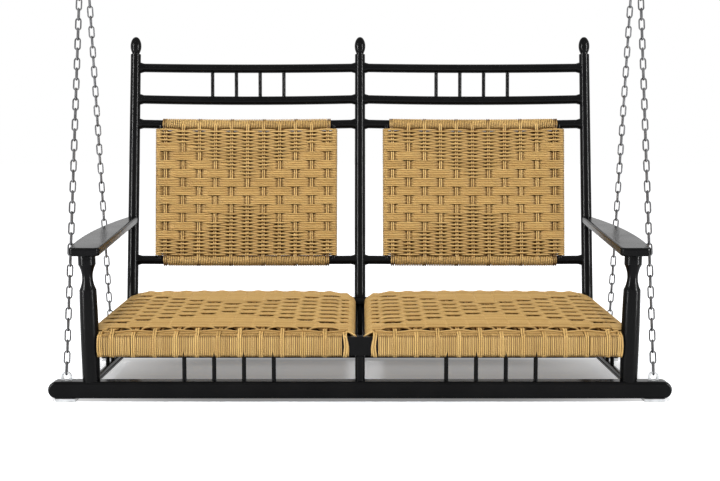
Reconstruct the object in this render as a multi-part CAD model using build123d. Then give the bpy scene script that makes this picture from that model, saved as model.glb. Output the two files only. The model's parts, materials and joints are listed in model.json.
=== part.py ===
from build123d import *
import os
from math import radians, sqrt, tan

# Two-seat porch swing: a welded frame with woven seats and backs, hung on four chains.
# Bench datum while modelling: X across, Y to the rear from the front base rail's axis,
# Z up from the base rails' mid-height. Every piece is moved to the hanging line at the end.
# Sizes are in millimetres and degrees.

# Base
overall_width = 1280.0
base_depth = 458.0
rail_height = 35.4
rail_thickness = 38.0
rail_edge_radius = 6.0
base_side_rail_diameter = 16.0
base_side_rail_inset = 4.0
base_side_rail_z = 13.6

# Uprights; the outer posts stand in from the ends of the base rails
post_end_distance = 85.0
front_post_inset = 2.0
front_post_base_radius = 17.7
front_post_belly_radius = 18.6
front_post_shoulder_radius = 17.4
front_post_neck_radius = 11.4
front_post_head_radius = 17.7
front_post_head_drop = 36.0
front_post_head_length = 33.0
front_post_neck_length = 19.0
front_post_splay = 1.2
recline = 9.0
rear_post_rise = 33.2
rear_post_foot_diameter = 27.7
rear_post_top_diameter = 24.8
finial_height = 43.5
finial_radius = 13.3
finial_neck_radius = 8.8
finial_neck_height = 3.0
finial_belly_height = 18.0
finial_tip_radius = 1.5
finial_roundness = 0.55
middle_post_diameter = 20.0

# Arms; their edges are measured from the outer posts' axes
arm_thickness = 17.5
arm_front_y = -30.0
arm_front_z = 293.6
arm_slope = 3.2
arm_inner_front = 28.0
arm_inner_rear = 11.0
arm_outer_front = 35.0
arm_outer_rear = 11.0
arm_bow = 21.0
arm_corner_radius = 12.0
arm_edge_radius = 5.0

# Back rails; their distances are measured along the rear posts, upward from the feet
back_rail_diameter = 21.4
panel_bar_bottom_height = 201.9
panel_height = 335.8
panel_to_rail = 61.3
crest_height = 78.6
top_rail_bow = 11.0
back_bow = 20.0
weld_flare = 4.5
weld_flare_length = 10.0
weld_tip_share = 0.97
spindle_diameter = 8.8
crest_spindle_pitch = 59.0
panel_margin = 56.0
panel_rod_diameter = 10.0
panel_wrap_inset = 16.5

# Seat frame
beam_height = 38.0
beam_thickness = 22.0
beam_bottom_z = 71.6
seat_slope = 2.6
seat_rail_diameter = 19.0
seat_rear_rail_setback = 4.5
seat_inner_edge_x = 11.0
seat_outer_front_inset = 2.0
seat_outer_rear_inset = 14.0
beam_wrap_inner_x = 22.5
middle_post_flare = 4.0
front_spindle_offset = -8.0
front_spindle_pitch = 61.4
side_spindle_offset = 1.0
side_spindle_pitch = 52.0
spindles_in_row = 4

# Weave
strand_diameter = 3.7
wrap_layers = 2
woven_layers = 3
weave_clearance = 0.2

# Chains and hanging gear
chain_pitch = 22.6
front_links = 46
rear_links = 45
link_wire = 3.6
link_void_width = 7.4
link_gap = 0.3
eye_end_distance = 35.5
chain_spread = 10.5
eye_width = 21.5
eye_hole_diameter = 13.5
eye_hole_height = 7.5
eye_thickness = 3.0
eye_play = 0.9
bolt_diameter = 8.0
bolt_clearance = 0.1
foot_width = 43.0
foot_thickness = 7.0
foot_edge_radius = 2.0
ring_radius = 20.0
ring_wire = 6.0
ring_gap = 0.4
hook_radius = 14.0
hook_wire = 8.0
hook_shank_length = 52.0
hook_neck_length = 8.0
hook_neck_diameter = 7.2

# Sizes that follow from the ones above
bay_width = overall_width / 2 - post_end_distance
base_side_rail_x = bay_width - base_side_rail_inset
front_post_head_z = arm_front_z - front_post_head_drop
front_post_neck_z = front_post_head_z - front_post_head_length
front_post_shoulder_z = front_post_neck_z - front_post_neck_length
panel_bar_top_height = panel_bar_bottom_height + panel_height
second_rail_height = panel_bar_top_height + panel_to_rail
top_rail_height = second_rail_height + crest_height
rear_post_length = top_rail_height + rear_post_rise
panel_width = bay_width - 2 * panel_margin
panel_wrap_width = panel_width - 2 * panel_wrap_inset
seat_rear_rail_y = base_depth - seat_rear_rail_setback
seat_outer_front_x = bay_width - seat_outer_front_inset
seat_outer_rear_x = bay_width - seat_outer_rear_inset
eye_x = overall_width / 2 - eye_end_distance
hook_x = eye_x + chain_spread
rail_top = rail_height / 2
rail_bottom = -rail_height / 2
beam_top = beam_bottom_z + beam_height
seat_rail_radius = seat_rail_diameter / 2
back_rail_radius = back_rail_diameter / 2
wrap_thickness = strand_diameter * wrap_layers
weave_thickness = strand_diameter * woven_layers
seat_inner_rail_x = seat_inner_edge_x + wrap_thickness + seat_rail_radius
arm_length = base_depth + (arm_front_z - rail_top) * tan(radians(recline)) - arm_front_y
link_void_length = chain_pitch + link_gap
SIDES = {"left": -1, "right": 1}
POSTS = {"left": -1, "middle": 0, "right": 1}
UPWARD = (Align.CENTER, Align.CENTER, Align.MIN)

pieces = {}


def rod(start, end, diameter):
    """Round bar between two points."""
    along = Vector(*end) - Vector(*start)
    return Plane(origin=start, z_dir=along) * Cylinder(diameter / 2, along.length, align=UPWARD)


def cope(shape, *cutters):
    """Trim a bar to the bars that it meets, and keep its longest piece."""
    for cutter in cutters:
        shape = shape - cutter
    return max(shape.solids(), key=lambda solid: solid.volume)


def group(solids):
    """Several separate solids that share one node."""
    return Compound(children=list(solids))


def octagon_loop(mean_radius, wire):
    """Closed loop of octagonal bar about the Z axis."""
    bar = Rot(0, 0, 22.5) * RegularPolygon(wire / 2, 8, major_radius=False)
    section = Plane.XZ * Pos(mean_radius, 0) * bar
    return revolve(section, Axis.Z)


def base_rail(y):
    """Rail with half-round ends, soft edges and holes for its two eye bolts."""
    outline = Plane.XZ * SlotOverall(overall_width, rail_height)
    rail = Pos(0, y, 0) * extrude(outline, rail_thickness / 2, both=True)
    faces = rail.faces().filter_by(Plane.XZ)
    rail = fillet(faces.edges(), rail_edge_radius)
    hole = Cylinder(bolt_diameter / 2 + bolt_clearance, rail_height * 2)
    for side in SIDES.values():
        rail = rail - Pos(side * eye_x, y, 0) * hole
    return rail


def front_post_axis(side):
    """Frame of a front post: its foot on the base rail, leaning out a little."""
    return Pos(side * (bay_width - front_post_inset), 0, rail_top) * Rot(0, side * front_post_splay, 0)


def front_post_blank():
    """Turned post: a long belly, a round shoulder, a neck and a flared head that runs up into the arm."""
    top = arm_front_z - rail_top
    shoulder = front_post_shoulder_z - rail_top
    neck = front_post_neck_z - rail_top
    head = front_post_head_z - rail_top
    with BuildSketch(Plane.XZ) as profile:
        with BuildLine():
            Line((0, -rail_top), (front_post_base_radius, -rail_top))
            Line((front_post_base_radius, -rail_top), (front_post_base_radius, 0))
            ThreePointArc(
                (front_post_base_radius, 0),
                (front_post_belly_radius, shoulder * 0.55),
                (front_post_shoulder_radius, shoulder),
            )
            ThreePointArc(
                (front_post_shoulder_radius, shoulder),
                (front_post_neck_radius, neck),
                (front_post_head_radius, head),
            )
            Line((front_post_head_radius, head), (front_post_head_radius, top))
            Line((front_post_head_radius, top), (0, top))
            Line((0, top), (0, -rail_top))
        make_face()
    return revolve(profile.sketch, Axis.Z)


def arm_blank():
    """Right arm: straight inner edge, bowed outer edge, narrow rear end, level in its own frame."""
    inner_front = bay_width - arm_inner_front
    inner_rear = bay_width - arm_inner_rear
    outer_front = bay_width + arm_outer_front
    outer_rear = bay_width + arm_outer_rear
    middle = ((outer_front + outer_rear) / 2 + arm_bow, arm_length / 2)
    with BuildSketch() as plan:
        with BuildLine():
            Line((inner_front, 0), (outer_front, 0))
            ThreePointArc((outer_front, 0), middle, (outer_rear, arm_length))
            Line((outer_rear, arm_length), (inner_rear, arm_length))
            Line((inner_rear, arm_length), (inner_front, 0))
        make_face()
        fillet(plan.vertices().group_by(Axis.Y)[0], arm_corner_radius)
    board = extrude(plan.sketch, -arm_thickness)
    rims = board.faces().filter_by(Plane.XY).edges()
    front_rims = [edge for edge in rims if edge.center().Y < arm_length - arm_edge_radius]
    board = fillet(front_rims, arm_edge_radius)
    return Pos(0, arm_front_y, arm_front_z) * Rot(arm_slope, 0, 0) * board


def rear_post_blank(side):
    """Tapered post in the reclined back frame, long enough to reach into the rear base rail."""
    taper = Cone(rear_post_foot_diameter / 2, rear_post_top_diameter / 2, rear_post_length, align=UPWARD)
    foot = Pos(0, 0, -rail_top) * Cylinder(rear_post_foot_diameter / 2, rail_top, align=UPWARD)
    return back_frame * Pos(side * bay_width, 0, 0) * (taper + foot)


def finial(side):
    """Egg-shaped knob on a short neck."""
    widest = finial_neck_height + finial_belly_height
    with BuildSketch(Plane.XZ) as profile:
        with BuildLine():
            Line((0, 0), (finial_neck_radius, 0))
            Line((finial_neck_radius, 0), (finial_neck_radius, finial_neck_height))
            TangentArc((finial_radius, widest), (finial_neck_radius, finial_neck_height), tangent=(0, -1))
            Bezier(
                (finial_radius, widest),
                (finial_radius, widest + finial_roundness * (finial_height - widest)),
                (finial_roundness * finial_radius, finial_height),
                (finial_tip_radius, finial_height),
            )
            Line((finial_tip_radius, finial_height), (0, finial_height))
            Line((0, finial_height), (0, 0))
        make_face()
    return back_frame * Pos(side * bay_width, 0, rear_post_length) * revolve(profile.sketch, Axis.Z)


def bow_at(x, bow):
    """How far a bowed rail stands back at x, measured from the middle of its bay."""
    half = bay_width / 2
    radius = (half**2 + bow**2) / (2 * bow)
    return sqrt(radius**2 - x**2) - (radius - bow)


def weld_collar():
    """Flare of a rail's end against a post: tall along the post, no wider than the post is thick."""
    post_radius = rear_post_top_diameter / 2
    root = Pos(0, 0, post_radius / 2) * Ellipse(back_rail_radius + weld_flare, back_rail_radius)
    tip = Pos(0, 0, post_radius + weld_flare_length) * Circle(back_rail_radius * weld_tip_share)
    return loft([root, tip])


def bowed_rail(side, height, bow, posts):
    """Round rail between two posts, bowed to the rear and flared where it is welded to them."""
    inner, outer = sorted((0, side * bay_width))
    path = ThreePointArc((inner, 0, height), ((inner + outer) / 2, bow, height), (outer, 0, height))
    bar = sweep(Plane(origin=path @ 0, z_dir=path % 0) * Circle(back_rail_radius), path=path)
    for end, way in ((0, 1), (1, -1)):
        bar = bar + Plane(origin=path @ end, x_dir=(0, 0, 1), z_dir=(path % end) * way) * weld_collar()
    return cope(back_frame * bar, *posts)


def crest_spindles(side, rails):
    """Row of thin rods between the two upper rails of a bay."""
    middle = side * bay_width / 2
    row = []
    for place in range(spindles_in_row):
        x = (place - (spindles_in_row - 1) / 2) * crest_spindle_pitch
        low = (middle + x, bow_at(x, back_bow), second_rail_height)
        high = (middle + x, bow_at(x, top_rail_bow), top_rail_height)
        row.append(cope(back_frame * rod(low, high, spindle_diameter), *rails))
    return group(row)


def panel_rod(side, edge, extra=0.0):
    """Upright rod at one edge of a woven back panel, level with the front of the bars."""
    x = edge * (panel_width / 2 - panel_rod_diameter / 2 - strand_diameter)
    y = bow_at(x, back_bow) - (back_rail_radius - panel_rod_diameter / 2)
    low = (side * bay_width / 2 + x, y, panel_bar_bottom_height)
    high = (side * bay_width / 2 + x, y, panel_bar_top_height)
    return back_frame * rod(low, high, panel_rod_diameter + 2 * extra)


def panel_bar(side, height, half_width, diameter):
    """Stretch of a panel bar's line, as thick as asked."""
    middle = side * bay_width / 2
    sag = bow_at(half_width, back_bow)
    path = ThreePointArc(
        (middle - half_width, sag, height), (middle, back_bow, height), (middle + half_width, sag, height)
    )
    return back_frame * sweep(Plane(origin=path @ 0, z_dir=path % 0) * Circle(diameter / 2), path=path)


def woven_back(side):
    """Back panel: a bowed woven sheet across the front of the bars, rolled round bars and side rods."""
    middle = side * bay_width / 2
    half = panel_width / 2 - panel_rod_diameter / 2 - strand_diameter
    sag = bow_at(half, back_bow)
    front = -back_rail_radius - strand_diameter / 2 - weave_thickness / 2
    rear = front + weave_thickness
    left, right = middle - half, middle + half
    with BuildSketch() as plan:
        with BuildLine():
            ThreePointArc((left, sag + front), (middle, back_bow + front), (right, sag + front))
            Line((right, sag + front), (right, sag + rear))
            ThreePointArc((right, sag + rear), (middle, back_bow + rear), (left, sag + rear))
            Line((left, sag + rear), (left, sag + front))
        make_face()
    sheet = extrude(plan.sketch, panel_bar_top_height - panel_bar_bottom_height)
    panel = back_frame * Pos(0, 0, panel_bar_bottom_height) * sheet
    wrapped = back_rail_diameter + 2 * strand_diameter
    for height in (panel_bar_bottom_height, panel_bar_top_height):
        panel = panel + panel_bar(side, height, panel_wrap_width / 2, wrapped)
    for edge in (-1, 1):
        panel = panel + panel_rod(side, edge, strand_diameter)
    for height in (panel_bar_bottom_height, panel_bar_top_height):
        panel = panel - panel_bar(side, height, bay_width / 2, back_rail_diameter + 2 * weave_clearance)
    for edge in (-1, 1):
        panel = panel - panel_rod(side, edge, weave_clearance)
    return max(panel.solids(), key=lambda solid: solid.volume)


def middle_front_post():
    """Middle post under the beam, with a small weld flare no thicker than the beam."""
    radius = middle_post_diameter / 2
    flare = middle_post_flare
    low = beam_bottom_z - flare
    hollow = ((1 - sqrt(0.5)) * flare + radius, low + sqrt(0.5) * flare)
    with BuildSketch(Plane.XZ) as profile:
        with BuildLine():
            Polyline((radius, low), (radius, rail_top), (0, rail_top), (0, beam_bottom_z))
            Line((0, beam_bottom_z), (radius + flare, beam_bottom_z))
            ThreePointArc((radius + flare, beam_bottom_z), hollow, (radius, low))
        make_face()
    return revolve(profile.sketch, Axis.Z) & Box(4 * radius, beam_thickness, 4 * beam_bottom_z)


def seat_inner_rail(side, extra=0.0):
    """Seat rail beside the middle post, from the front beam to the rear rail, its top in the seat plane."""
    rear_y = seat_rear_rail_y - seat_rail_radius / 2
    start = (side * seat_inner_rail_x, 0, seat_z(0) - seat_rail_radius)
    end = (side * seat_inner_rail_x, rear_y, seat_z(rear_y) - seat_rail_radius)
    return rod(start, end, seat_rail_diameter + 2 * extra)


def seat_outer_axis(side, y):
    """Point of the outer seat rail's axis, which draws in a little from the front post to the rear rail."""
    share = y / seat_rear_rail_y
    x = seat_outer_front_x + (seat_outer_rear_x - seat_outer_front_x) * share
    return (side * x, y, seat_z(y) - seat_rail_radius)


def seat_outer_rail(side, extra=0.0):
    """Seat rail at the outer side, from the front post to the rear rail."""
    ends = (seat_outer_axis(side, 0), seat_outer_axis(side, seat_rear_rail_y))
    return rod(*ends, seat_rail_diameter + 2 * extra)


def seat_z(y):
    """Height of the seat plane, which touches the tops of the seat rails."""
    return beam_top + y * tan(radians(seat_slope))


def woven_seat(side, cutters):
    """Seat: a woven sheet over the rails, wound round the front beam, the rear rail and both side rails."""
    shell = wrap_thickness / 2
    front_y = -beam_thickness / 2 - shell
    rear_y = seat_rear_rail_y
    inner = side * seat_inner_rail_x
    outer_front = side * seat_outer_front_x
    outer_rear = side * seat_outer_rear_x
    left, right = sorted((inner, outer_front))
    with BuildSketch(Plane.YZ) as profile:
        with BuildLine():
            Polyline(
                (front_y, beam_bottom_z - shell),
                (front_y, beam_top),
                (front_y + weave_thickness, seat_z(0) + weave_thickness),
                (rear_y, seat_z(rear_y) + weave_thickness),
                (rear_y, seat_z(rear_y)),
                (-front_y, seat_z(-front_y)),
                (-front_y, beam_bottom_z - shell),
                close=True,
            )
        make_face()
        fillet(profile.vertices().sort_by(Axis.Y)[:3], shell)
    sheet = Pos(left, 0, 0) * extrude(profile.sketch, right - left)
    with BuildSketch() as plan:
        with BuildLine():
            Polyline(
                (inner, front_y),
                (outer_front, front_y),
                (outer_front, 0),
                (outer_rear, rear_y),
                (inner, rear_y),
                close=True,
            )
        make_face()
    sheet = sheet & extrude(plan.sketch, 2 * seat_z(rear_y), both=True)
    post_edge_x = bay_width - front_post_belly_radius - weave_clearance
    wrap_length = post_edge_x - beam_wrap_inner_x
    wrap_middle = (side * (post_edge_x + beam_wrap_inner_x) / 2, 0, beam_bottom_z + beam_height / 2)
    wrap = Pos(*wrap_middle) * Box(wrap_length, -2 * front_y, beam_height + 2 * shell)
    wrap = fillet(wrap.edges().filter_by(Axis.X), shell)
    rolled = seat_rail_diameter + 2 * wrap_thickness
    rear_z = seat_z(rear_y) - seat_rail_radius
    seat = sheet + wrap + rod((inner, rear_y, rear_z), (outer_rear, rear_y, rear_z), rolled)
    seat = seat + seat_inner_rail(side, wrap_thickness) + seat_outer_rail(side, wrap_thickness)
    for cutter in cutters:
        seat = seat - cutter
    return max(seat.solids(), key=lambda solid: solid.volume)


def chain_link():
    """One link standing along Z: an outline with cut corners round a straight-sided void."""
    half_width = link_void_width / 2 + link_wire
    half_length = link_void_length / 2 + link_wire
    outline = Rectangle(2 * half_width, 2 * half_length)
    outline = chamfer(outline.vertices(), half_width * 0.6)
    flat = outline - Rectangle(link_void_width, link_void_length)
    return Plane.XZ * extrude(flat, link_wire / 2, both=True)


def chain(eye, ring, links, first_flat):
    """Row of links from an eye to a ring, each turned a quarter from the one below."""
    along = (ring - eye).normalized()
    across = (Vector(1, 0, 0) - along * along.X).normalized()
    deep = along.cross(across)
    row = []
    for count in range(links):
        flat = (count % 2 == 0) == first_flat
        centre = eye + along * (link_wire / 2 + link_void_length / 2 + count * chain_pitch)
        row.append(Plane(origin=centre, x_dir=across if flat else deep, z_dir=along) * chain_link())
    return group(row)


def eye_bolt(x, y, turn):
    """Lug with a round top and one hole, on a shank that runs through the base rail."""
    lug = Pos(0, eye_hole_height) * Circle(eye_width / 2)
    lug = lug + Pos(0, eye_hole_height / 2) * Rectangle(eye_width, eye_hole_height)
    lug = lug - Pos(0, eye_hole_height) * Circle(eye_hole_diameter / 2)
    lug = lug - Pos(0, -eye_width / 2) * Rectangle(eye_width, eye_width)
    plate = Rot(0, 0, turn) * (Plane.XZ * extrude(lug, eye_thickness / 2, both=True))
    shank = Pos(0, 0, -rail_height - foot_thickness) * Cylinder(
        bolt_diameter / 2, rail_height + foot_thickness, align=UPWARD
    )
    return Pos(x, y, rail_top) * (plate + shank)


def foot(x, y):
    """Plate washer under a rail, which is also what the bench stands on when it is set down."""
    plate = Pos(0, 0, -foot_thickness / 2) * Box(foot_width, rail_thickness, foot_thickness)
    plate = fillet(plate.edges().filter_by(Axis.Z), foot_edge_radius)
    plate = plate - Cylinder(bolt_diameter / 2 + bolt_clearance, foot_thickness * 3)
    return Pos(x, y, rail_bottom) * plate


# Base rails and their feet
front_rail = base_rail(0)
rear_rail = base_rail(base_depth)
pieces["front_base_rail"] = front_rail
pieces["rear_base_rail"] = rear_rail
corners = [(side * eye_x, y) for y in (0, base_depth) for side in SIDES.values()]
pieces["feet"] = group(foot(x, y) for x, y in corners)
pieces["eye_bolts"] = group(eye_bolt(x, y, 0 if y == 0 else 90) for x, y in corners)
base_side_rails = {}
for name, side in SIDES.items():
    start = (side * base_side_rail_x, rail_thickness / 2, base_side_rail_z)
    end = (side * base_side_rail_x, base_depth - rail_thickness / 2, base_side_rail_z)
    base_side_rails[name] = rod(start, end, base_side_rail_diameter)
    pieces[f"base_side_rail_{name}"] = base_side_rails[name]

# Back frame: posts lean back from the rear base rail
back_frame = Pos(0, base_depth, rail_top) * Rot(-recline, 0, 0)
rear_posts = {}
for name, side in POSTS.items():
    rear_posts[name] = cope(rear_post_blank(side), rear_rail)
    pieces[f"rear_post_{name}"] = rear_posts[name]
    pieces[f"finial_{name}"] = finial(side)

RAILS = {
    "top_rail": (top_rail_height, top_rail_bow),
    "second_rail": (second_rail_height, back_bow),
    "panel_top_bar": (panel_bar_top_height, back_bow),
    "panel_bottom_bar": (panel_bar_bottom_height, back_bow),
}
for name, side in SIDES.items():
    rails = {}
    for rail, (height, bow) in RAILS.items():
        rails[rail] = bowed_rail(side, height, bow, (rear_posts["middle"], rear_posts[name]))
        pieces[f"{rail}_{name}"] = rails[rail]
    pieces[f"crest_spindles_{name}"] = crest_spindles(side, (rails["top_rail"], rails["second_rail"]))
    bars = (rails["panel_top_bar"], rails["panel_bottom_bar"])
    for place, edge in (("inner", -side), ("outer", side)):
        pieces[f"panel_rod_{name}_{place}"] = cope(panel_rod(side, edge), *bars)
    pieces[f"woven_back_{name}"] = woven_back(side)

# Arms and front posts
arm = arm_blank()
arms = {"right": arm, "left": mirror(arm, about=Plane.YZ)}
front_posts = {}
for name, side in SIDES.items():
    pieces[f"arm_{name}"] = cope(arms[name], rear_posts[name])
    blank = front_post_axis(side) * front_post_blank()
    front_posts[name] = cope(blank, arms[name], front_rail)
    pieces[f"front_post_{name}"] = front_posts[name]

# Seat frame
beam_blank = Pos(0, 0, beam_bottom_z + beam_height / 2) * Box(2 * bay_width, beam_thickness, beam_height)
beam = cope(beam_blank, *front_posts.values())
pieces["seat_front_beam"] = beam
rear_z = seat_z(seat_rear_rail_y) - seat_rail_radius
rear_bar_ends = ((-bay_width, seat_rear_rail_y, rear_z), (bay_width, seat_rear_rail_y, rear_z))
rear_bar = rod(*rear_bar_ends, seat_rail_diameter)
pieces["seat_rear_rail"] = cope(rear_bar, *rear_posts.values())
pieces["middle_front_post"] = middle_front_post()

for name, side in SIDES.items():
    inner_rail = cope(seat_inner_rail(side), beam, rear_bar)
    outer_rail = cope(seat_outer_rail(side), beam, rear_bar, front_posts[name])
    pieces[f"seat_inner_rail_{name}"] = inner_rail
    pieces[f"seat_outer_rail_{name}"] = outer_rail
    front_row = []
    side_row = []
    for place in range(spindles_in_row):
        step = place - (spindles_in_row - 1) / 2
        x = side * (bay_width / 2 + front_spindle_offset + step * front_spindle_pitch)
        front_row.append(rod((x, 0, rail_top), (x, 0, beam_bottom_z), spindle_diameter))
        y = base_depth / 2 + side_spindle_offset + step * side_spindle_pitch
        foot_point = (side * base_side_rail_x, y, base_side_rail_z)
        side_rod = rod(foot_point, seat_outer_axis(side, y), spindle_diameter)
        side_row.append(cope(side_rod, base_side_rails[name], outer_rail))
    pieces[f"front_spindles_{name}"] = group(front_row)
    pieces[f"side_spindles_{name}"] = group(side_row)
    room = weave_clearance
    cutters = [
        Pos(0, 0, beam_bottom_z + beam_height / 2)
        * Box(2 * bay_width, beam_thickness + 2 * room, beam_height + 2 * room),
        rod(*rear_bar_ends, seat_rail_diameter + 2 * room),
        seat_inner_rail(side, room),
        seat_outer_rail(side, room),
        front_post_axis(side) * Cylinder(front_post_belly_radius + room, front_post_shoulder_z * 2),
    ]
    for spindle in front_row + side_row:
        cutters.append(spindle)
    pieces[f"woven_seat_{name}"] = woven_seat(side, cutters)

# Hanging gear: the ring centre is where both chains, at their full length, meet
hang_reach = link_wire / 2 + ring_radius - ring_wire / 2
front_length = front_links * chain_pitch + hang_reach
rear_length = rear_links * chain_pitch + hang_reach
link_seat_z = rail_top + eye_hole_height + eye_hole_diameter / 2 - link_wire / 2 - eye_play
hang_y = (base_depth + (front_length**2 - rear_length**2) / base_depth) / 2
ring_z = link_seat_z + sqrt(front_length**2 - hang_y**2 - (hook_x - eye_x) ** 2)
hang_z = ring_z + ring_radius - ring_wire / 2 - ring_gap - hook_wire / 2
for name, side in SIDES.items():
    ring_centre = Vector(side * hook_x, hang_y, ring_z)
    front_eye = Vector(side * eye_x, 0, link_seat_z)
    rear_eye = Vector(side * eye_x, base_depth, link_seat_z)
    pieces[f"chain_front_{name}"] = chain(front_eye, ring_centre, front_links, False)
    pieces[f"chain_rear_{name}"] = chain(rear_eye, ring_centre, rear_links, True)
    ring = Plane.YZ * octagon_loop(ring_radius, ring_wire)
    pieces[f"hanging_ring_{name}"] = Pos(*ring_centre) * ring
    loop = Plane.XZ * octagon_loop(hook_radius, hook_wire)
    neck = Pos(0, 0, hook_radius) * Cylinder(hook_neck_diameter / 2, hook_neck_length, align=UPWARD)
    shank = Pos(0, 0, hook_radius + hook_neck_length) * Cylinder(hook_wire / 2, hook_shank_length, align=UPWARD)
    screw_eye = Pos(side * hook_x, hang_y, hang_z + hook_radius) * (loop + neck + shank)
    pieces[f"ceiling_eye_{name}"] = screw_eye

os.makedirs("parts", exist_ok=True)
to_hanging_line = Pos(0, -hang_y, -hang_z)
for name, shape in pieces.items():
    export_step(to_hanging_line * shape, f"parts/{name}.step")
print("hanging line above the front base rail: Y", round(hang_y, 2), "Z", round(hang_z, 2))
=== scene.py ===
"""Dressed scene of a two-seat porch swing: woven panels, chains, finishes, studio and camera."""

import json
import logging
import math
import random
from abc import ABC, abstractmethod
from bisect import bisect_left
from dataclasses import dataclass, field
from enum import Enum
from typing import Callable, ClassVar, Dict, List, Optional, Sequence, Tuple

import bpy
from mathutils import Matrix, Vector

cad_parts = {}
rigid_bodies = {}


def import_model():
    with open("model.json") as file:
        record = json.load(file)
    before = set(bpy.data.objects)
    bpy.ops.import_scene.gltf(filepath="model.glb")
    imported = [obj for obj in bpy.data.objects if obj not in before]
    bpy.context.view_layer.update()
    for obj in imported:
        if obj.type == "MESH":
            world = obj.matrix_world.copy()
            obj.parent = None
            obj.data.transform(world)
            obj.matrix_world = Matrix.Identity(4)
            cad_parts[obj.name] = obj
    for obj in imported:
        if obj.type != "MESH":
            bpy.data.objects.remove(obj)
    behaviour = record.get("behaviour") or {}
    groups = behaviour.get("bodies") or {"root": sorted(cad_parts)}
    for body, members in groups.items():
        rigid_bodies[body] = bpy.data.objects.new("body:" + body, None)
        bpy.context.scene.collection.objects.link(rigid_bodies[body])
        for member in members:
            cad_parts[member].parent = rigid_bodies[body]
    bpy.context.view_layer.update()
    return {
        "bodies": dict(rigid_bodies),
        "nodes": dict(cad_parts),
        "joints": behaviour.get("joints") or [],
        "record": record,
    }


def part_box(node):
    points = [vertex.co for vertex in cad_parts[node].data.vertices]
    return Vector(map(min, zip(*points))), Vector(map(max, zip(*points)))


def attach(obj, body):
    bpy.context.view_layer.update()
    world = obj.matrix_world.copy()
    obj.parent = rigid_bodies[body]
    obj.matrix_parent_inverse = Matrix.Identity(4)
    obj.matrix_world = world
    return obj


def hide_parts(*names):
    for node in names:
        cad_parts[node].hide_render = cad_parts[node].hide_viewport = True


Point = Tuple[float, float, float]
Flat = Tuple[float, float]
Colour = Tuple[float, float, float]
Station = Tuple[float, float, float, float]

LOG = logging.getLogger("porch_swing")
MM = 0.001
TURN_STEPS = 12
HALF_TURN: Sequence[int] = range(0, 181, 30)
FULL_TURN: Sequence[int] = range(0, 360, 12)
WHITE: Colour = (1.0, 1.0, 1.0)
# Depths in millimetres where painted shade in the weave's hollows starts, and over which it grows to full.
HOLLOW_SHADE_START = 1.8
HOLLOW_SHADE_SPAN = 4.6


class Slot(Enum):
    """Material slots of the record."""

    BLACK_FRAME = "black_frame"
    WICKER = "wicker"
    CHAIN = "chain_steel"
    ZINC = "zinc_steel"


class Side(Enum):
    """The two mirrored halves of the swing, with the sign of X on each."""

    LEFT = -1
    RIGHT = 1

    @property
    def word(self) -> str:
        """Name of the half as the CAD nodes spell it."""
        return self.name.lower()


class Body(Enum):
    """Bodies that pieces ride on."""

    SWING = "swing"
    CEILING = "ceiling_eyes"


def mix(low: float, high: float, share: float) -> float:
    """Value between two others."""
    return low + (high - low) * share


def ease(share: float) -> float:
    """Smooth step from 0 to 1, held at both ends."""
    held = min(1.0, max(0.0, share))
    return held * held * (3.0 - 2.0 * held)


def hollow_share(depth: float) -> float:
    """Strength of painted shade at a depth in millimetres under a sheet's middle: 0 on its face, 1 inside
    the hollows.
    """
    return ease((depth + HOLLOW_SHADE_START) / HOLLOW_SHADE_SPAN)


class Bench:
    """Datum of the bench in millimetres, read from its two base rails; only front_face is in metres."""

    recline: ClassVar[float] = math.radians(9.0)

    def __init__(self) -> None:
        """Reads the places of both base rails."""
        low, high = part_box("front_base_rail")
        rear_low, rear_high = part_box("rear_base_rail")
        self.axis_y: float = (low[1] + high[1]) / 2 / MM
        self.mid_z: float = (low[2] + high[2]) / 2 / MM
        self.front_face: float = low[1]
        self.depth: float = (rear_low[1] + rear_high[1] - low[1] - high[1]) / 2 / MM
        self.rail_top: float = (high[2] - low[2]) / 2 / MM

    def place(self, x: float, y: float, z: float) -> Point:
        """Row-frame point of a bench point.

        Args:
            x: Across the bench, in millimetres.
            y: To the rear from the front base rail's axis, in millimetres.
            z: Up from the base rails' mid-height, in millimetres.

        Returns:
            The point in metres in the row frame.
        """
        return (x * MM, (y + self.axis_y) * MM, (z + self.mid_z) * MM)

    def lean(self, x: float, y: float, height: float) -> Point:
        """Row-frame point of a point given in the reclined back.

        Args:
            x: Across the bench.
            y: Behind the plane of the rear posts.
            height: Along the rear posts from their feet.

        Returns:
            The point in metres in the row frame.
        """
        turned_y = y * math.cos(self.recline) + height * math.sin(self.recline)
        turned_z = height * math.cos(self.recline) - y * math.sin(self.recline)
        return self.place(x, self.depth + turned_y, self.rail_top + turned_z)

    def unplace(self, point: Point) -> Point:
        """Bench point, in millimetres, of a row-frame point."""
        return (point[0] / MM, point[1] / MM - self.axis_y, point[2] / MM - self.mid_z)

    def unlean(self, point: Point) -> Point:
        """Point in the reclined back, in millimetres, of a row-frame point.

        Args:
            point: The point in metres in the row frame.

        Returns:
            Place across, behind the plane of the rear posts and along them.
        """
        x, y, z = self.unplace(point)
        y -= self.depth
        z -= self.rail_top
        cos, sin = math.cos(self.recline), math.sin(self.recline)
        return (x, y * cos - z * sin, y * sin + z * cos)


class NodeBoard:
    """Small helper that lays shader nodes and wires them by name."""

    def __init__(self, tree: bpy.types.NodeTree) -> None:
        """Clears a node tree to lay nodes on."""
        self.tree = tree
        self.tree.nodes.clear()

    def add(self, kind: str, **values: object) -> bpy.types.Node:
        """Adds a node and sets its properties.

        Args:
            kind: Type of the node.
            values: Properties with their values.

        Returns:
            The node.
        """
        node = self.tree.nodes.new(kind)
        for name, value in values.items():
            setattr(node, name, value)
        return node

    def wire(self, source: bpy.types.NodeSocket, target: bpy.types.NodeSocket) -> None:
        """Links two sockets."""
        self.tree.links.new(source, target)


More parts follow.
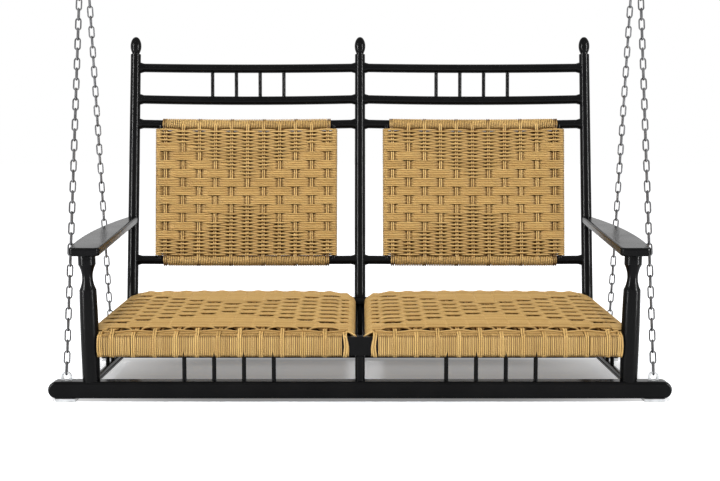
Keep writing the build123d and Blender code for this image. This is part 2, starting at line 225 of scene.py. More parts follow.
class SurfaceGrain:
    """Shared node group: a fine grain and a broad cloud, both from one vector."""

    name: ClassVar[str] = "surface_grain"
    details: ClassVar[Dict[str, float]] = {"Fine": 3.0, "Broad": 2.0}

    @classmethod
    def group(cls) -> bpy.types.NodeTree:
        """Builds the group once.

        Returns:
            The node group with a vector and two scales in, and fine and broad values out.
        """
        if cls.name in bpy.data.node_groups:
            return bpy.data.node_groups[cls.name]
        tree = bpy.data.node_groups.new(cls.name, "ShaderNodeTree")
        face = tree.interface
        face.new_socket("Vector", in_out="INPUT", socket_type="NodeSocketVector")
        for label in cls.details:
            face.new_socket(label + " Scale", in_out="INPUT", socket_type="NodeSocketFloat")
        for label in cls.details:
            face.new_socket(label, in_out="OUTPUT", socket_type="NodeSocketFloat")
        board = NodeBoard(tree)
        entry = board.add("NodeGroupInput")
        leave = board.add("NodeGroupOutput")
        for label, detail in cls.details.items():
            noise = board.add("ShaderNodeTexNoise")
            noise.inputs["Detail"].default_value = detail
            board.wire(entry.outputs["Vector"], noise.inputs["Vector"])
            board.wire(entry.outputs[label + " Scale"], noise.inputs["Scale"])
            board.wire(noise.outputs["Fac"], leave.inputs[label])
        return tree


class FinishBoard(NodeBoard):
    """Node board of one finish: a Principled shader with its output, and what feeds it."""

    noise_span: ClassVar[Flat] = (0.3, 0.7)
    cloud_stops: ClassVar[Flat] = (0.35, 0.65)

    def __init__(self, label: str) -> None:
        """Starts a material with its shader and output.

        Args:
            label: Name of the material.
        """
        self.material = bpy.data.materials.new(label)
        self.material.use_nodes = True
        super().__init__(self.material.node_tree)
        self.shader = self.add("ShaderNodeBsdfPrincipled")
        leave = self.add("ShaderNodeOutputMaterial")
        self.wire(self.shader.outputs["BSDF"], leave.inputs["Surface"])

    def constant(self, socket: str, value: float) -> None:
        """Sets a value on one of the shader's own sockets."""
        self.shader.inputs[socket].default_value = value

    def grain(self, scales: Flat) -> bpy.types.Node:
        """Places the shared grain group on Object coordinates.

        Args:
            scales: Scale of the fine grain and of the broad cloud.

        Returns:
            The group node.
        """
        place = self.add("ShaderNodeTexCoord")
        grain = self.add("ShaderNodeGroup", node_tree=SurfaceGrain.group())
        for label, scale in zip(SurfaceGrain.details, scales):
            grain.inputs[label + " Scale"].default_value = scale
        self.wire(place.outputs["Object"], grain.inputs["Vector"])
        return grain

    def ramp(self, source: bpy.types.NodeSocket, *stops: Tuple[float, Colour]) -> bpy.types.NodeSocket:
        """Colour ramp fed by a value.

        Args:
            source: Socket of the value.
            stops: Places from 0 to 1 with their colours.

        Returns:
            The ramp's colour socket.
        """
        ramp = self.add("ShaderNodeValToRGB")
        elements = ramp.color_ramp.elements
        while len(elements) < len(stops):
            elements.new(0.5)
        for element, (place, colour) in zip(elements, stops):
            element.position = place
            element.color = (*colour, 1.0)
        self.wire(source, ramp.inputs["Fac"])
        return ramp.outputs["Color"]

    def cloud_colour(self, source: bpy.types.NodeSocket, dark: Colour, light: Colour) -> None:
        """Feeds Base Color with a cloud between two colours."""
        tint = self.ramp(source, *zip(self.cloud_stops, (dark, light)))
        self.wire(tint, self.shader.inputs["Base Color"])

    def roughen(self, source: bpy.types.NodeSocket, span: Flat) -> None:
        """Feeds Roughness with noise, spread from where noise mostly lies to a span of its own.

        Args:
            source: Socket of the noise.
            span: Least and greatest roughness.
        """
        spread = self.add("ShaderNodeMapRange")
        ends = (*self.noise_span, *span)
        for label, value in zip(("From Min", "From Max", "To Min", "To Max"), ends):
            spread.inputs[label].default_value = value
        self.wire(source, spread.inputs["Value"])
        self.wire(spread.outputs["Result"], self.shader.inputs["Roughness"])

    def bump(self, source: bpy.types.NodeSocket, strength: float, height: float) -> None:
        """Feeds Normal with a bump.

        Args:
            source: Socket of the height.
            strength: Strength from 0 to 1.
            height: Height of the relief in metres.
        """
        relief = self.add("ShaderNodeBump")
        relief.inputs["Strength"].default_value = strength
        relief.inputs["Distance"].default_value = height
        self.wire(source, relief.inputs["Height"])
        self.wire(relief.outputs["Normal"], self.shader.inputs["Normal"])


@dataclass(frozen=True)
class PowderCoat:
    """Satin black powder coat of the welded frame, with its faint orange peel."""

    dark: Colour = (0.0022, 0.0022, 0.0024)
    light: Colour = (0.0036, 0.0036, 0.0038)
    roughness: Flat = (0.20, 0.25)
    specular: float = 0.065
    grain_scales: Flat = (900.0, 14.0)
    peel_strength: float = 0.06
    peel_height: float = 0.0004

    def material(self) -> bpy.types.Material:
        """Builds the material.

        Returns:
            The material.
        """
        board = FinishBoard("black_powder_coat")
        board.constant("Specular IOR Level", self.specular)
        grain = board.grain(self.grain_scales)
        board.cloud_colour(grain.outputs["Broad"], self.dark, self.light)
        board.roughen(grain.outputs["Broad"], self.roughness)
        board.bump(grain.outputs["Fine"], self.peel_strength, self.peel_height)
        return board.material


@dataclass(frozen=True)
class WickerCord:
    """Smooth tan cord: each strand has its own tone, and painted shade darkens it in the hollows of the
    weave and at the sides of its strands.
    """

    deep: Colour = (0.45, 0.280, 0.096)
    middle: Colour = (0.57, 0.366, 0.133)
    pale: Colour = (0.69, 0.468, 0.184)
    # Colour towards which painted shade in the weave's hollows darkens the cord.
    shade: Colour = (0.11, 0.05, 0.02)
    tone_stops: Tuple[float, float, float] = (0.0, 0.19, 0.39)
    tone_share: float = 0.22
    cloud_share: float = 0.16
    roughness: Flat = (0.42, 0.55)
    specular: float = 0.10
    grain_scales: Flat = (420.0, 60.0)
    streak_stretch: Point = (9.0, 14.0, 1.0)
    streak_scale: float = 3.0
    fibre_strength: float = 0.12
    fibre_height: float = 0.0005

    def tint(self, board: FinishBoard, grain: bpy.types.Node) -> bpy.types.NodeSocket:
        """Colour of a strand, from its own tone and a broad cloud.

        Args:
            board: Node board of the finish.
            grain: Its grain node.

        Returns:
            Socket of the colour.
        """
        own = board.add("ShaderNodeAttribute", attribute_name="strand_tone")
        blend = board.add("ShaderNodeMath", operation="ADD")
        shares = ((own.outputs["Fac"], self.tone_share), (grain.outputs["Broad"], self.cloud_share))
        for place, (source, share) in enumerate(shares):
            part = board.add("ShaderNodeMath", operation="MULTIPLY")
            part.inputs[1].default_value = share
            board.wire(source, part.inputs[0])
            board.wire(part.outputs["Value"], blend.inputs[place])
        return board.ramp(blend.outputs["Value"], *zip(self.tone_stops, (self.deep, self.middle, self.pale)))

    def streaks(self, board: FinishBoard) -> bpy.types.NodeSocket:
        """Fine streaks of the fibre, from each strand's own UV map.

        Args:
            board: Node board of the finish.

        Returns:
            Socket of the streaks' height.
        """
        along = board.add("ShaderNodeUVMap", uv_map="UVMap")
        stretch = board.add("ShaderNodeMapping")
        stretch.inputs["Scale"].default_value = self.streak_stretch
        board.wire(along.outputs["UV"], stretch.inputs["Vector"])
        streak = board.add("ShaderNodeTexNoise")
        streak.inputs["Scale"].default_value = self.streak_scale
        board.wire(stretch.outputs["Vector"], streak.inputs["Vector"])
        return streak.outputs["Fac"]

    def material(self) -> bpy.types.Material:
        """Builds the material.

        Returns:
            The material.
        """
        board = FinishBoard("tan_wicker_cord")
        board.constant("Specular IOR Level", self.specular)
        grain = board.grain(self.grain_scales)
        # Painted shade: the cord's tone is multiplied towards the shade colour where a strand lies deep in
        # the weave or at its sides.
        hollow = board.add("ShaderNodeAttribute", attribute_name="hollow")
        shaded = board.add("ShaderNodeVectorMath", operation="MULTIPLY")
        board.wire(self.tint(board, grain), shaded.inputs[0])
        board.wire(board.ramp(hollow.outputs["Fac"], (0.0, WHITE), (1.0, self.shade)), shaded.inputs[1])
        board.wire(shaded.outputs["Vector"], board.shader.inputs["Base Color"])
        board.roughen(grain.outputs["Fine"], self.roughness)
        board.bump(self.streaks(board), self.fibre_strength, self.fibre_height)
        return board.material


@dataclass(frozen=True)
class ZincSteel:
    """Zinc-plated steel of the chains, lugs and feet, a little dull and cloudy."""

    label: str
    dark: Colour
    light: Colour
    roughness: Flat
    grain_scales: Flat = (700.0, 60.0)

    def material(self) -> bpy.types.Material:
        """Builds the material.

        Returns:
            The material.
        """
        board = FinishBoard(self.label)
        board.constant("Metallic", 1.0)
        grain = board.grain(self.grain_scales)
        board.cloud_colour(grain.outputs["Broad"], self.dark, self.light)
        board.roughen(grain.outputs["Fine"], self.roughness)
        return board.material


@dataclass
class Strands:
    """Strands of one round section that together make one piece.

    Strands lie in lanes, counted along a direction from a start, either of one width or parted by
    borders. Each lane has one tone, and painted shade darkens its sides and the weave's hollows.
    """

    name: str
    radius: float
    roundness: int = 1
    tilt: float = 0.0
    lane: Point = (1.0, 0.0, 0.0)
    lane_width: float = 4.3
    lane_start: Point = (0.0, 0.0, 0.0)
    borders: Sequence[float] = ()
    groove: float = 0.0
    hollow: Optional[Callable[[Point], float]] = None
    runs: List[Tuple[List[Point], bool]] = field(default_factory=list)

    def lay(self, points: Sequence[Point], closed: bool = False) -> None:
        """Adds one strand along the given points, in metres."""
        self.runs.append((list(points), closed))

    def mesh(self) -> bpy.types.Object:
        """Sweeps every strand and turns the curve into a mesh piece.

        Returns:
            The finished mesh object, at the origin.
        """
        curve = bpy.data.curves.new(self.name, "CURVE")
        curve.dimensions = "3D"
        curve.bevel_depth = self.radius * MM
        curve.bevel_resolution = self.roundness
        curve.use_fill_caps = True
        for points, closed in self.runs:
            spline = curve.splines.new("POLY")
            spline.points.add(len(points) - 1)
            flat: List[float] = []
            for x, y, z in points:
                flat.extend((x, y, z, 1.0))
            spline.points.foreach_set("co", flat)
            spline.points.foreach_set("tilt", [math.radians(self.tilt)] * len(points))
            spline.use_cyclic_u = closed
            spline.use_smooth = True
        piece = bpy.data.objects.new(self.name, curve)
        bpy.context.scene.collection.objects.link(piece)
        bpy.ops.object.select_all(action="DESELECT")
        piece.select_set(True)
        bpy.context.view_layer.objects.active = piece
        bpy.ops.object.convert(target="MESH")
        piece = bpy.context.view_layer.objects.active
        self.tone(piece.data)
        return piece

    def tone(self, mesh: bpy.types.Mesh) -> None:
        """Writes the tone of each vertex's lane and its painted shade in grooves and hollows, both from 0 to
        1.

        Args:
            mesh: The swept strands.
        """
        chance = random.Random(self.name)
        tones: Dict[int, float] = {}
        flat = [0.0] * (3 * len(mesh.vertices))
        mesh.vertices.foreach_get("co", flat)
        values: List[float] = []
        depths: List[float] = []
        for place in zip(flat[::3], flat[1::3], flat[2::3]):
            reach = sum((place[i] - self.lane_start[i]) * self.lane[i] for i in range(3)) / MM
            away = reach / self.lane_width
            lane = bisect_left(self.borders, reach) if self.borders else round(away)
            if lane not in tones:
                tones[lane] = chance.random()
            values.append(tones[lane])
            # Painted shade at the lane's sides, where grooves between strands lie, and in the weave's
            # hollows.
            beside = self.groove * ease(2.0 * abs(away - round(away)))
            depths.append(max(beside, self.hollow(place)) if self.hollow else beside)
        for label, numbers in (("strand_tone", values), ("hollow", depths)):
            mesh.attributes.new(label, "FLOAT", "POINT").data.foreach_set("value", numbers)


@dataclass
class Dresser:
    """Puts finishes on pieces and sets what they ride on."""

    finishes: Dict[Slot, bpy.types.Material]

    def dress(self, piece: bpy.types.Object, slot: Slot, body: Body, *nodes: str) -> None:
        """Finishes a new piece.

        Args:
            piece: The mesh object.
            slot: Material slot that it takes its finish from.
            body: Body that it rides on.
            nodes: CAD nodes that it stands for.
        """
        piece.data.materials.clear()
        piece.data.materials.append(self.finishes[slot])
        if nodes:
            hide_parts(*nodes)
        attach(piece, body.value)
        LOG.info("piece %s: %d faces", piece.name, len(piece.data.polygons))

    def paint_nodes(self, frame: Dict[str, object]) -> None:
        """Gives every CAD node the finish of its slot in the record.
        """
        by_node = {part["node"]: part["material_slot"] for part in frame["record"]["subparts"]}
        for name, node in frame["nodes"].items():
            finish = self.finishes[Slot(by_node[name])]
            if node.data.materials:
                for place in range(len(node.data.materials)):
                    node.data.materials[place] = finish
            else:
                node.data.materials.append(finish)


@dataclass(frozen=True)
class WeavePattern:
    """Which strand lies on top at each crossing: bundles in the middle, plain weave towards two edges."""

    warps: int
    bundles: int
    bundle_rows: int
    plain_before: int
    plain_after: int
    border: int = 0

    @property
    def rows(self) -> int:
        """Number of weft rows."""
        return self.plain_before + self.bundles * self.bundle_rows + self.plain_after + self.border

    def in_border(self, row: int) -> bool:
        """Whether a row is one of the last ones, which lie over every warp."""
        return row >= self.rows - self.border

    def bundle(self, row: int) -> int:
        """Bundle that a row belongs to, counted from 1, or 0 in the plain rows.

        Args:
            row: Row of the weft, from 0.

        Returns:
            Number of the bundle.
        """
        place = row - self.plain_before
        if 0 <= place < self.bundles * self.bundle_rows:
            return place // self.bundle_rows + 1
        return 0

    def bundled(self, row: int, warp: int) -> bool:
        """Whether a row crosses a warp in its bundle and not strand by strand.

        Args:
            row: Row of the weft, from 0.
            warp: Number of the warp, from 1.

        Returns:
            True but for the plain rows, and the wedges of plain weave that reach in from them.
        """
        bundle = self.bundle(row)
        first = max(1, min(warp, self.warps + 1 - warp) - 1)
        return bundle > 0 and first <= bundle <= self.bundles + 1 - first

    def weft_over(self, row: int, warp: int) -> bool:
        """Whether the weft lies over the warp at a crossing.

        Args:
            row: Row of the weft, from 0.
            warp: Number of the warp, from 1.

        Returns:
            True where the weft is on top.
        """
        if self.in_border(row):
            return True
        if self.bundled(row, warp):
            return (self.bundle(row) + warp) % 2 == 0
        return (row + warp) % 2 == 1

    def warp_lift(self, row: int, warp: int) -> float:
        """Height of a warp at a row, from -1 where it is pressed down to 1.

        Args:
            row: Row that it crosses, from 0.
            warp: Number of the warp, from 1.

        Returns:
            The height, evened out over the rows beside it.
        """
        total = 0.0
        for step, weight in ((-1, 0.25), (0, 0.5), (1, 0.25)):
            near = min(self.rows - 1, max(0, row + step))
            total += -weight if self.weft_over(near, warp) else weight
        return total


@dataclass
class Weave:
    """Strand heights and paths of one woven panel, laid out on its own flat plan in millimetres."""

    pattern: WeavePattern
    warp_places: List[float]
    row_places: List[float]
    dip: float
    plain_dip: float
    dip_room: float = 3.0
    hold: float = 2.5
    warp_swing: float = 0.5
    crossing: float = 4.1
    edge_crossing: float = 4.1
    edge_drop: float = 0.0
    edge_gap: float = 18.0
    pinch: float = 0.13
    sag: float = 2.4
    float_rise: float = 1.15
    twin_gap: float = 0.5
    warp_radius: float = 2.0
    turn_squeeze: float = 0.15

    def twins(self, middle: float) -> Flat:
        """Places of a warp's two strands, a hair apart."""
        step = self.warp_radius + self.twin_gap / 2
        return (middle - step, middle + step)

    def clear_turns(self, low: float, high: float, taken: Sequence[float], pitch: float) -> List[float]:
        """Places of winding turns that fill a bar evenly and leave room for the warps on it.

        Args:
            low: Where the winding starts.
            high: Where it ends.
            taken: Places of the warps that lie on the bar.
            pitch: Step from turn to turn, which a turn may pass only by a small share.

        Returns:
            Places of the turns.
        """
        room = 2 * self.warp_radius + self.twin_gap / 2 + pitch / 2
        edges = [low]
        for middle in sorted(taken):
            edges += [middle - room, middle + room]
        edges.append(high)
        turns: List[float] = []
        for start, stop in zip(edges[::2], edges[1::2]):
            if stop < start:
                continue
            count = max(1, math.ceil((stop - start) / pitch - self.turn_squeeze))
            turns += [mix(start, stop, step / count) for step in range(count + 1)]
        return turns

    def at_edge(self, warp: int) -> bool:
        """Whether a warp is the first or the last one."""
        return warp in (1, self.pattern.warps)

    def warp_height(self, row: int, warp: int) -> float:
        """Height of a warp's axis off the sheet's middle at a row."""
        drop = self.edge_drop if self.at_edge(warp) else 0.0
        return self.warp_swing * self.pattern.warp_lift(row, warp) - drop

    def weft_height(self, row: int, warp: int) -> float:
        """Height of a weft's axis off the sheet's middle where it crosses a warp.

        Args:
            row: Row of the weft, from 0.
            warp: Number of the warp, from 1.

        Returns:
            The height in millimetres.
        """
        crossing = self.edge_crossing if self.at_edge(warp) else self.crossing
        step = crossing if self.pattern.weft_over(row, warp) else -crossing
        return self.warp_height(row, warp) + step

    def weft_line(self, row: int, offsets: Sequence[float]) -> List[Point]:
        """Path of one weft across the warps.

        Args:
            row: Row of the weft.
            offsets: Distances from each warp at which points are set.

        Returns:
            Points as place across, place along and height.
        """
        places = self.warp_places
        line: List[Point] = []
        for warp, middle in enumerate(places, start=1):
            here = self.weft_height(row, warp)
            for offset in offsets:
                beyond = warp + (1 if offset > 0 else -1)
                inside = 1 <= beyond <= len(places)
                there = self.weft_height(row, beyond) if inside else 0.0
                gap = places[1] - places[0] if inside else self.edge_gap
                reach = abs(offset)
                if not inside and reach > gap / 2:
                    continue
                lower = warp if here < there else beyond
                dip = self.dip if self.pattern.bundled(row, lower) else self.plain_dip
                height = self.between(row, here, there, reach, gap, min(dip, gap - self.dip_room))
                line.append((middle + offset, self.row_shift(row, warp, reach), height))
        return line

    def between(self, row: int, here: float, there: float, reach: float, gap: float, dip: float) -> float:
        """Height of a weft at a distance from one warp on its way to the next.

        Args:
            row: Row of the weft.
            here: Its height at the warp that the distance counts from.
            there: Its height at the next warp.
            reach: The distance.
            gap: Distance from warp to warp.
            dip: Distance over which it climbs out from under a warp.

        Returns:
            The height of its axis.
        """
        hump = math.sin(math.pi * min(1.0, reach / gap)) ** 2
        if self.pattern.in_border(row):
            return mix(here, there, reach / gap) - self.sag * hump
        if here * there < 0:
            if here < there:
                return mix(here, there, ease((reach - self.hold) / (dip - self.hold)))
            return mix(there, here, ease((gap - reach - self.hold) / (dip - self.hold)))
        level = mix(here, there, ease(reach / gap))
        if max(here, there) < 0:
            level += self.float_rise * self.crossing * hump
        return level

    def row_shift(self, row: int, warp: int, reach: float) -> float:
        """Place of a row, drawn towards its bundle's middle where the bundle runs under a warp.

        Args:
            row: Row of the weft, from 0.
            warp: Number of the nearest warp, from 1.
            reach: Distance from that warp.

        Returns:
            The place along the warps.
        """
        place = self.row_places[row]
        pattern = self.pattern
        if not pattern.bundled(row, warp) or pattern.weft_over(row, warp):
            return place
        first = pattern.plain_before + (pattern.bundle(row) - 1) * pattern.bundle_rows
        last = first + pattern.bundle_rows - 1
        middle = (self.row_places[first] + self.row_places[last]) / 2
        return place + (middle - place) * self.pinch * (1.0 - ease(reach / self.dip))


class WovenPanel(ABC):
    """What both kinds of woven panel share: wefts, warps and windings, each one piece."""

    kind: ClassVar[str]
    side: Side
    front_offsets: ClassVar[Sequence[float]] = (-15.5, -11.5, -8.0, -4.5, 0.0, 4.5, 8.0, 11.5, 15.5)

    @abstractmethod
    def wefts(self) -> Strands:
        """Lays the strands that run across."""

    @abstractmethod
    def warps(self) -> Strands:
        """Lays the strands that run along."""

    @abstractmethod
    def windings(self) -> Strands:
        """Winds the bars that carry the warps."""

    def piece_name(self, layer: str) -> str:
        """Name of the piece that holds one layer of strands."""
        return f"{self.kind}_{layer}_{self.side.word}"

    def build(self, dresser: Dresser) -> None:
        """Builds and dresses the panel, whose wefts stand for its CAD node.

        Args:
            dresser: Puts the finishes on.
        """
        dresser.dress(self.wefts().mesh(), Slot.WICKER, Body.SWING, f"{self.kind}_{self.side.word}")
        dresser.dress(self.warps().mesh(), Slot.WICKER, Body.SWING)
        dresser.dress(self.windings().mesh(), Slot.WICKER, Body.SWING)


@dataclass
class WovenBack(WovenPanel):
    """One woven back panel: wefts round two side rods, warps between two bars, windings on the bars.

    The edge, over and under turns are a warp's paths round a bar, as angles in degrees and rises in
    millimetres. A short turn is a weft's angles round a rod where a bar stops it. A filler is a strand
    that closes the cleft by a bar, as a rise over the nearest row and a depth behind the sheet.
    """

    kind: ClassVar[str] = "woven_back"
    seed: ClassVar[int] = 11
    rear_offsets: ClassVar[Sequence[float]] = (-14.0, -7.0, 0.0, 7.0, 14.0)
    short_turn: ClassVar[Sequence[int]] = range(0, 121, 30)
    edge_turn: ClassVar[List[Flat]] = [(angle, 0.0) for angle in range(250, -37, -26)]
    over_turn: ClassVar[List[Flat]] = [
        *((angle, 0.4) for angle in range(234, 77, -26)), (52, 0.8), (26, 1.1), (0, 1.2), (-22, 1.5)]
    under_turn: ClassVar[List[Flat]] = [(16, -1.2), (-8, 1.2), (-28, 1.9)]
    top_fillers: ClassVar[Sequence[Flat]] = ((3.2, 5.6), (0.5, 7.0), (-4.2, 8.5), (-7.7, 10.5))
    low_fillers: ClassVar[Sequence[Flat]] = ((4.7, 11.5), (2.8, 9.5), (1.0, 7.5))

    bench: Bench
    side: Side
    bay: float = 555.0
    bow: float = 20.0
    bar_radius: float = 10.7
    bar_low: float = 201.9
    bar_high: float = 537.7
    bar_room: float = 3.2
    rod_place: float = 212.8
    rod_radius: float = 5.0
    rod_forward: float = 5.7
    strand_radius: float = 2.19
    weft_tilt: float = 30.0
    weft_groove: float = 0.2
    warp_gap: float = 39.5
    warp_shade: float = 0.8
    warp_shade_start: float = 2.2
    warp_shade_span: float = 2.6
    row_pitch: float = 4.342
    first_row: float = 522.9
    rear_trim: int = 3
    rear_sink: float = 1.2
    rear_angle: float = 98.0
    winding_pitch: float = 4.3
    winding_reaches: Flat = (190.8, 194.4)
    winding_radius: float = 1.82
    winding_slip: float = 0.04
    winding_swell: float = 0.05
    # Painted shade between the turns of the bars' windings and in the cleft by each bar.
    turn_shade: float = 0.35
    turn_depth: float = 1.9
    cleft_start: float = 0.45
    cleft_span: float = 0.5
    edge_steps: Flat = (0.4, 3.4)
    edge_start: float = 158.0
    edge_slack: Flat = (2.1, 4.4)
    filler_step: float = 20.0
    filler_reach: int = 10

    def __post_init__(self) -> None:
        """Lays out the weave, and works out how far off rods and bars strands run."""
        pattern = WeavePattern(warps=11, bundles=11, bundle_rows=5, plain_before=8, plain_after=9)
        places = [(index - pattern.warps // 2) * self.warp_gap for index in range(pattern.warps)]
        rows = [self.first_row - self.row_pitch * row for row in range(pattern.rows)]
        self.weave = Weave(pattern, places, rows, dip=20.0, plain_dip=32.0)
        self.middle = self.side.value * self.bay / 2
        self.sheet = self.rod_forward + self.rod_radius + self.strand_radius
        self.snug = self.bar_radius + self.strand_radius
        self.loop = self.rod_radius + self.strand_radius

    def sag(self, across: float) -> float:
        """How far the panel stands back at a place across its bay.

        Args:
            across: Place across, from the middle of the bay.

        Returns:
            Distance behind the plane of the rear posts.
        """
        half = self.bay / 2
        radius = (half**2 + self.bow**2) / (2 * self.bow)
        return math.sqrt(radius**2 - across**2) - (radius - self.bow)

    def slack(self, across: float, height: float) -> float:
        """How far the panel's outer edge stands out, more at its top than at its foot.

        Args:
            across: Place across, from the middle of the bay.
            height: Height along the rear posts.

        Returns:
            Step across.
        """
        outward = ease((across * self.side.value - self.edge_start) / (self.rod_place - self.edge_start))
        share = (height - self.bar_low) / (self.bar_high - self.bar_low)
        return self.side.value * outward * mix(*self.edge_slack, share)

    def off_bar(self, height: float) -> float:
        """Distance of a height from the nearer bar, counted towards the other one."""
        return min(self.bar_high - height, height - self.bar_low)

    def depth(self, point: Point) -> float:
        """Distance of a point inside the middle of the nearer of the panel's two layers.

        Args:
            point: The point in the row frame.

        Returns:
            The distance in millimetres, negative outside.
        """
        x, y, _ = self.bench.unlean(point)
        across = x - self.middle
        inside = y - self.sag(across) + self.sheet
        return min(inside, 2 * self.loop - inside) if abs(across) < self.rod_place else -self.loop

    def hollow(self, point: Point) -> float:
        """Painted shade of a point of a weft from how deep it lies in the weave: 0 on its faces, 1 between
        its two layers.
        """
        return hollow_share(self.depth(point))

    def beside(self, point: Point) -> float:
        """Painted shade of a point of a warp from how deep it lies in the grooves next to it: 0 up to the
        warps' full shade.
        """
        return self.warp_shade * ease((self.depth(point) + self.warp_shade_start) / self.warp_shade_span)

    def under_bar(self, point: Point) -> float:
        """Painted shade of a point of a winding from how deep it lies between two turns, or in the cleft by
        its bar.

        Args:
            point: The point in the row frame.

        Returns:
            Painted shade from 0 to 1.
        """
        x, y, height = self.bench.unlean(point)
        behind = y - self.sag(x - self.middle)
        bar = self.bar_low if height < (self.bar_low + self.bar_high) / 2 else self.bar_high
        inward = self.snug + self.winding_radius - math.hypot(height - bar, behind)
        between = self.turn_shade * ease(inward / self.turn_depth)
        if behind >= self.bar_radius / 2:
            return between
        return max(between, ease((self.off_bar(height) / self.snug - self.cleft_start) / self.cleft_span))

    def spot(self, across: float, height: float, forward: float) -> Point:
        """Row-frame point at a place on the panel and a distance in front of its middle sheet."""
        x = self.middle + across + self.slack(across, height)
        return self.bench.lean(x, self.sag(across) - self.sheet - forward, height)

    def round_bar(self, across: float, bar: float, radius: float, angle: float) -> Point:
        """Point round a bar: angle 0 is its front, 90 its top, in degrees."""
        turn = math.radians(angle)
        return self.spot(across, bar + radius * math.sin(turn), radius * math.cos(turn) - self.sheet)

    def round_rod(self, end: int, height: float, angle: float) -> Point:
        """Point of a weft round a side rod.

        Args:
            end: 1 at the rod on the right, -1 at the one on the left.
            height: Height of the weft.
            angle: Angle in degrees: 0 is the rod's front, 90 its outer side.

        Returns:
            The point in the row frame.
        """
        turn = math.radians(angle)
        across = end * (self.rod_place + self.loop * math.sin(turn))
        return self.spot(across, height, self.loop * math.cos(turn) - self.loop)

    def wefts(self) -> Strands:
        """Lays every weft across the front, round both rods and, off the bars, back behind.

        Returns:
            The wefts.
        """
        up = (0.0, math.sin(self.bench.recline), math.cos(self.bench.recline))
        strands = Strands(self.piece_name("wefts"), self.strand_radius, tilt=self.weft_tilt, lane=up,
                          lane_width=self.row_pitch, lane_start=self.spot(0.0, self.first_row, 0.0),
                          groove=self.weft_groove, hollow=self.hollow)
        for row, height in enumerate(self.weave.row_places):
            near_bar = self.off_bar(height) < self.bar_radius + self.bar_room * self.strand_radius
            turns = self.short_turn if near_bar else HALF_TURN
            line = [self.round_rod(-1, height, angle) for angle in reversed(turns)]
            line += [self.spot(*place) for place in self.weave.weft_line(row, self.front_offsets)]
            line += [self.round_rod(1, height, angle) for angle in turns]
            if not near_bar:
                for across, along, rise in reversed(self.weave.weft_line(row, self.rear_offsets)):
                    forward = -2 * self.loop - self.rear_height(row, across, rise)
                    line.append(self.spot(across, along, forward))
            strands.lay(line, closed=not near_bar)
        return strands

    def rear_height(self, row: int, across: float, height: float) -> float:
        """Height of a weft on the rear layer, which only follows the weave well inside the bundles.

        Args:
            row: Row of the weft, from 0.
            across: Place across the panel.
            height: Height that the weave gives it.

        Returns:
            That height, or the height over a warp.
        """
        warp = 1 + round((across - self.weave.warp_places[0]) / self.warp_gap)
        pattern = self.weave.pattern
        inside = all(pattern.bundled(row + step * pattern.bundle_rows, warp) for step in (-1, 0, 1))
        return height if inside else self.weave.crossing

    def warp_end(self, across: float, warp: int, bar: float, way: int) -> List[Point]:
        """Path of a warp round a bar, down to the sheet.

        Args:
            across: Place of the strand across the panel.
            warp: Number of its warp, from 1; the first and last and the odd ones go right round the
                bar, and even ones slip under its windings.
            bar: Height of the bar.
            way: 1 at the upper bar, -1 at the lower one.

        Returns:
            Points from the strand's hidden end to the sheet.
        """
        outward = 0.0
        if self.weave.at_edge(warp):
            outward = math.copysign(self.edge_steps[way > 0], across)
            turn = self.edge_turn
        else:
            turn = self.over_turn if warp % 2 == 1 else self.under_turn
        return [self.round_bar(across + outward, bar, self.snug + rise, way * angle) for angle, rise in turn]

    def warps(self) -> Strands:
        """Lays each pair of warps from bar to bar in front, and another pair behind.

        Returns:
            The warps.
        """
        strands = Strands(self.piece_name("warps"), self.weave.warp_radius, lane_width=self.warp_gap,
                          lane_start=self.spot(0.0, self.first_row, 0.0), hollow=self.beside)
        rows = range(1, self.weave.pattern.rows - 1)
        sunk = self.bar_radius - self.rear_sink
        for warp, middle in enumerate(self.weave.warp_places, start=1):
            heights = [(self.weave.row_places[row], self.weave.warp_height(row, warp)) for row in rows]
            for across in self.weave.twins(middle):
                line = self.warp_end(across, warp, self.bar_high, 1)
                line += [self.spot(across, along, rise) for along, rise in heights]
                line += reversed(self.warp_end(across, warp, self.bar_low, -1))
                strands.lay(line)
                rear = [self.round_bar(across, self.bar_high, sunk, -self.rear_angle)]
                for along, rise in heights[self.rear_trim:-self.rear_trim]:
                    rear.append(self.spot(across, along, -2 * self.loop - rise))
                rear.append(self.round_bar(across, self.bar_low, sunk, self.rear_angle))
                strands.lay(rear)
        return strands

    def windings(self) -> Strands:
        """Winds both bars turn by turn between the outer warps, open where a warp runs over a bar.

        Returns:
            The windings and the fillers beside them.
        """
        chance = random.Random(self.seed + self.side.value)
        strands = Strands(self.piece_name("windings"), self.winding_radius, lane_width=self.bay,
                          hollow=self.under_bar)
        over = self.weave.warp_places[::2]
        for bar, reach in zip((self.bar_low, self.bar_high), self.winding_reaches):
            for middle in self.weave.clear_turns(-reach, reach, over[1:-1], self.winding_pitch):
                slip = chance.uniform(-self.winding_slip, self.winding_slip)
                swell = chance.uniform(-self.winding_swell, self.winding_swell)
                line = []
                for step in range(TURN_STEPS + 1):
                    share = step / TURN_STEPS
                    across = middle + slip + self.winding_pitch * (share - 0.5)
                    line.append(self.round_bar(across, bar, self.snug + swell, 180 - 360 * share))
                strands.lay(line)
        self.fill(strands, self.weave.row_places[0], self.top_fillers)
        self.fill(strands, self.weave.row_places[-1], self.low_fillers)
        return strands

    def fill(self, strands: Strands, row_place: float, fillers: Sequence[Flat]) -> None:
        """Adds the strands that close the cleft between a bar and the row nearest to it; the cleft's painted
        shade darkens them.

        Args:
            strands: Strands that take them up.
            row_place: Height of that row.
            fillers: Their rises over the row and depths behind the sheet.
        """
        steps = range(-self.filler_reach, self.filler_reach + 1)
        for rise, depth in fillers:
            strands.lay([self.spot(self.filler_step * step, row_place + rise, -depth) for step in steps])


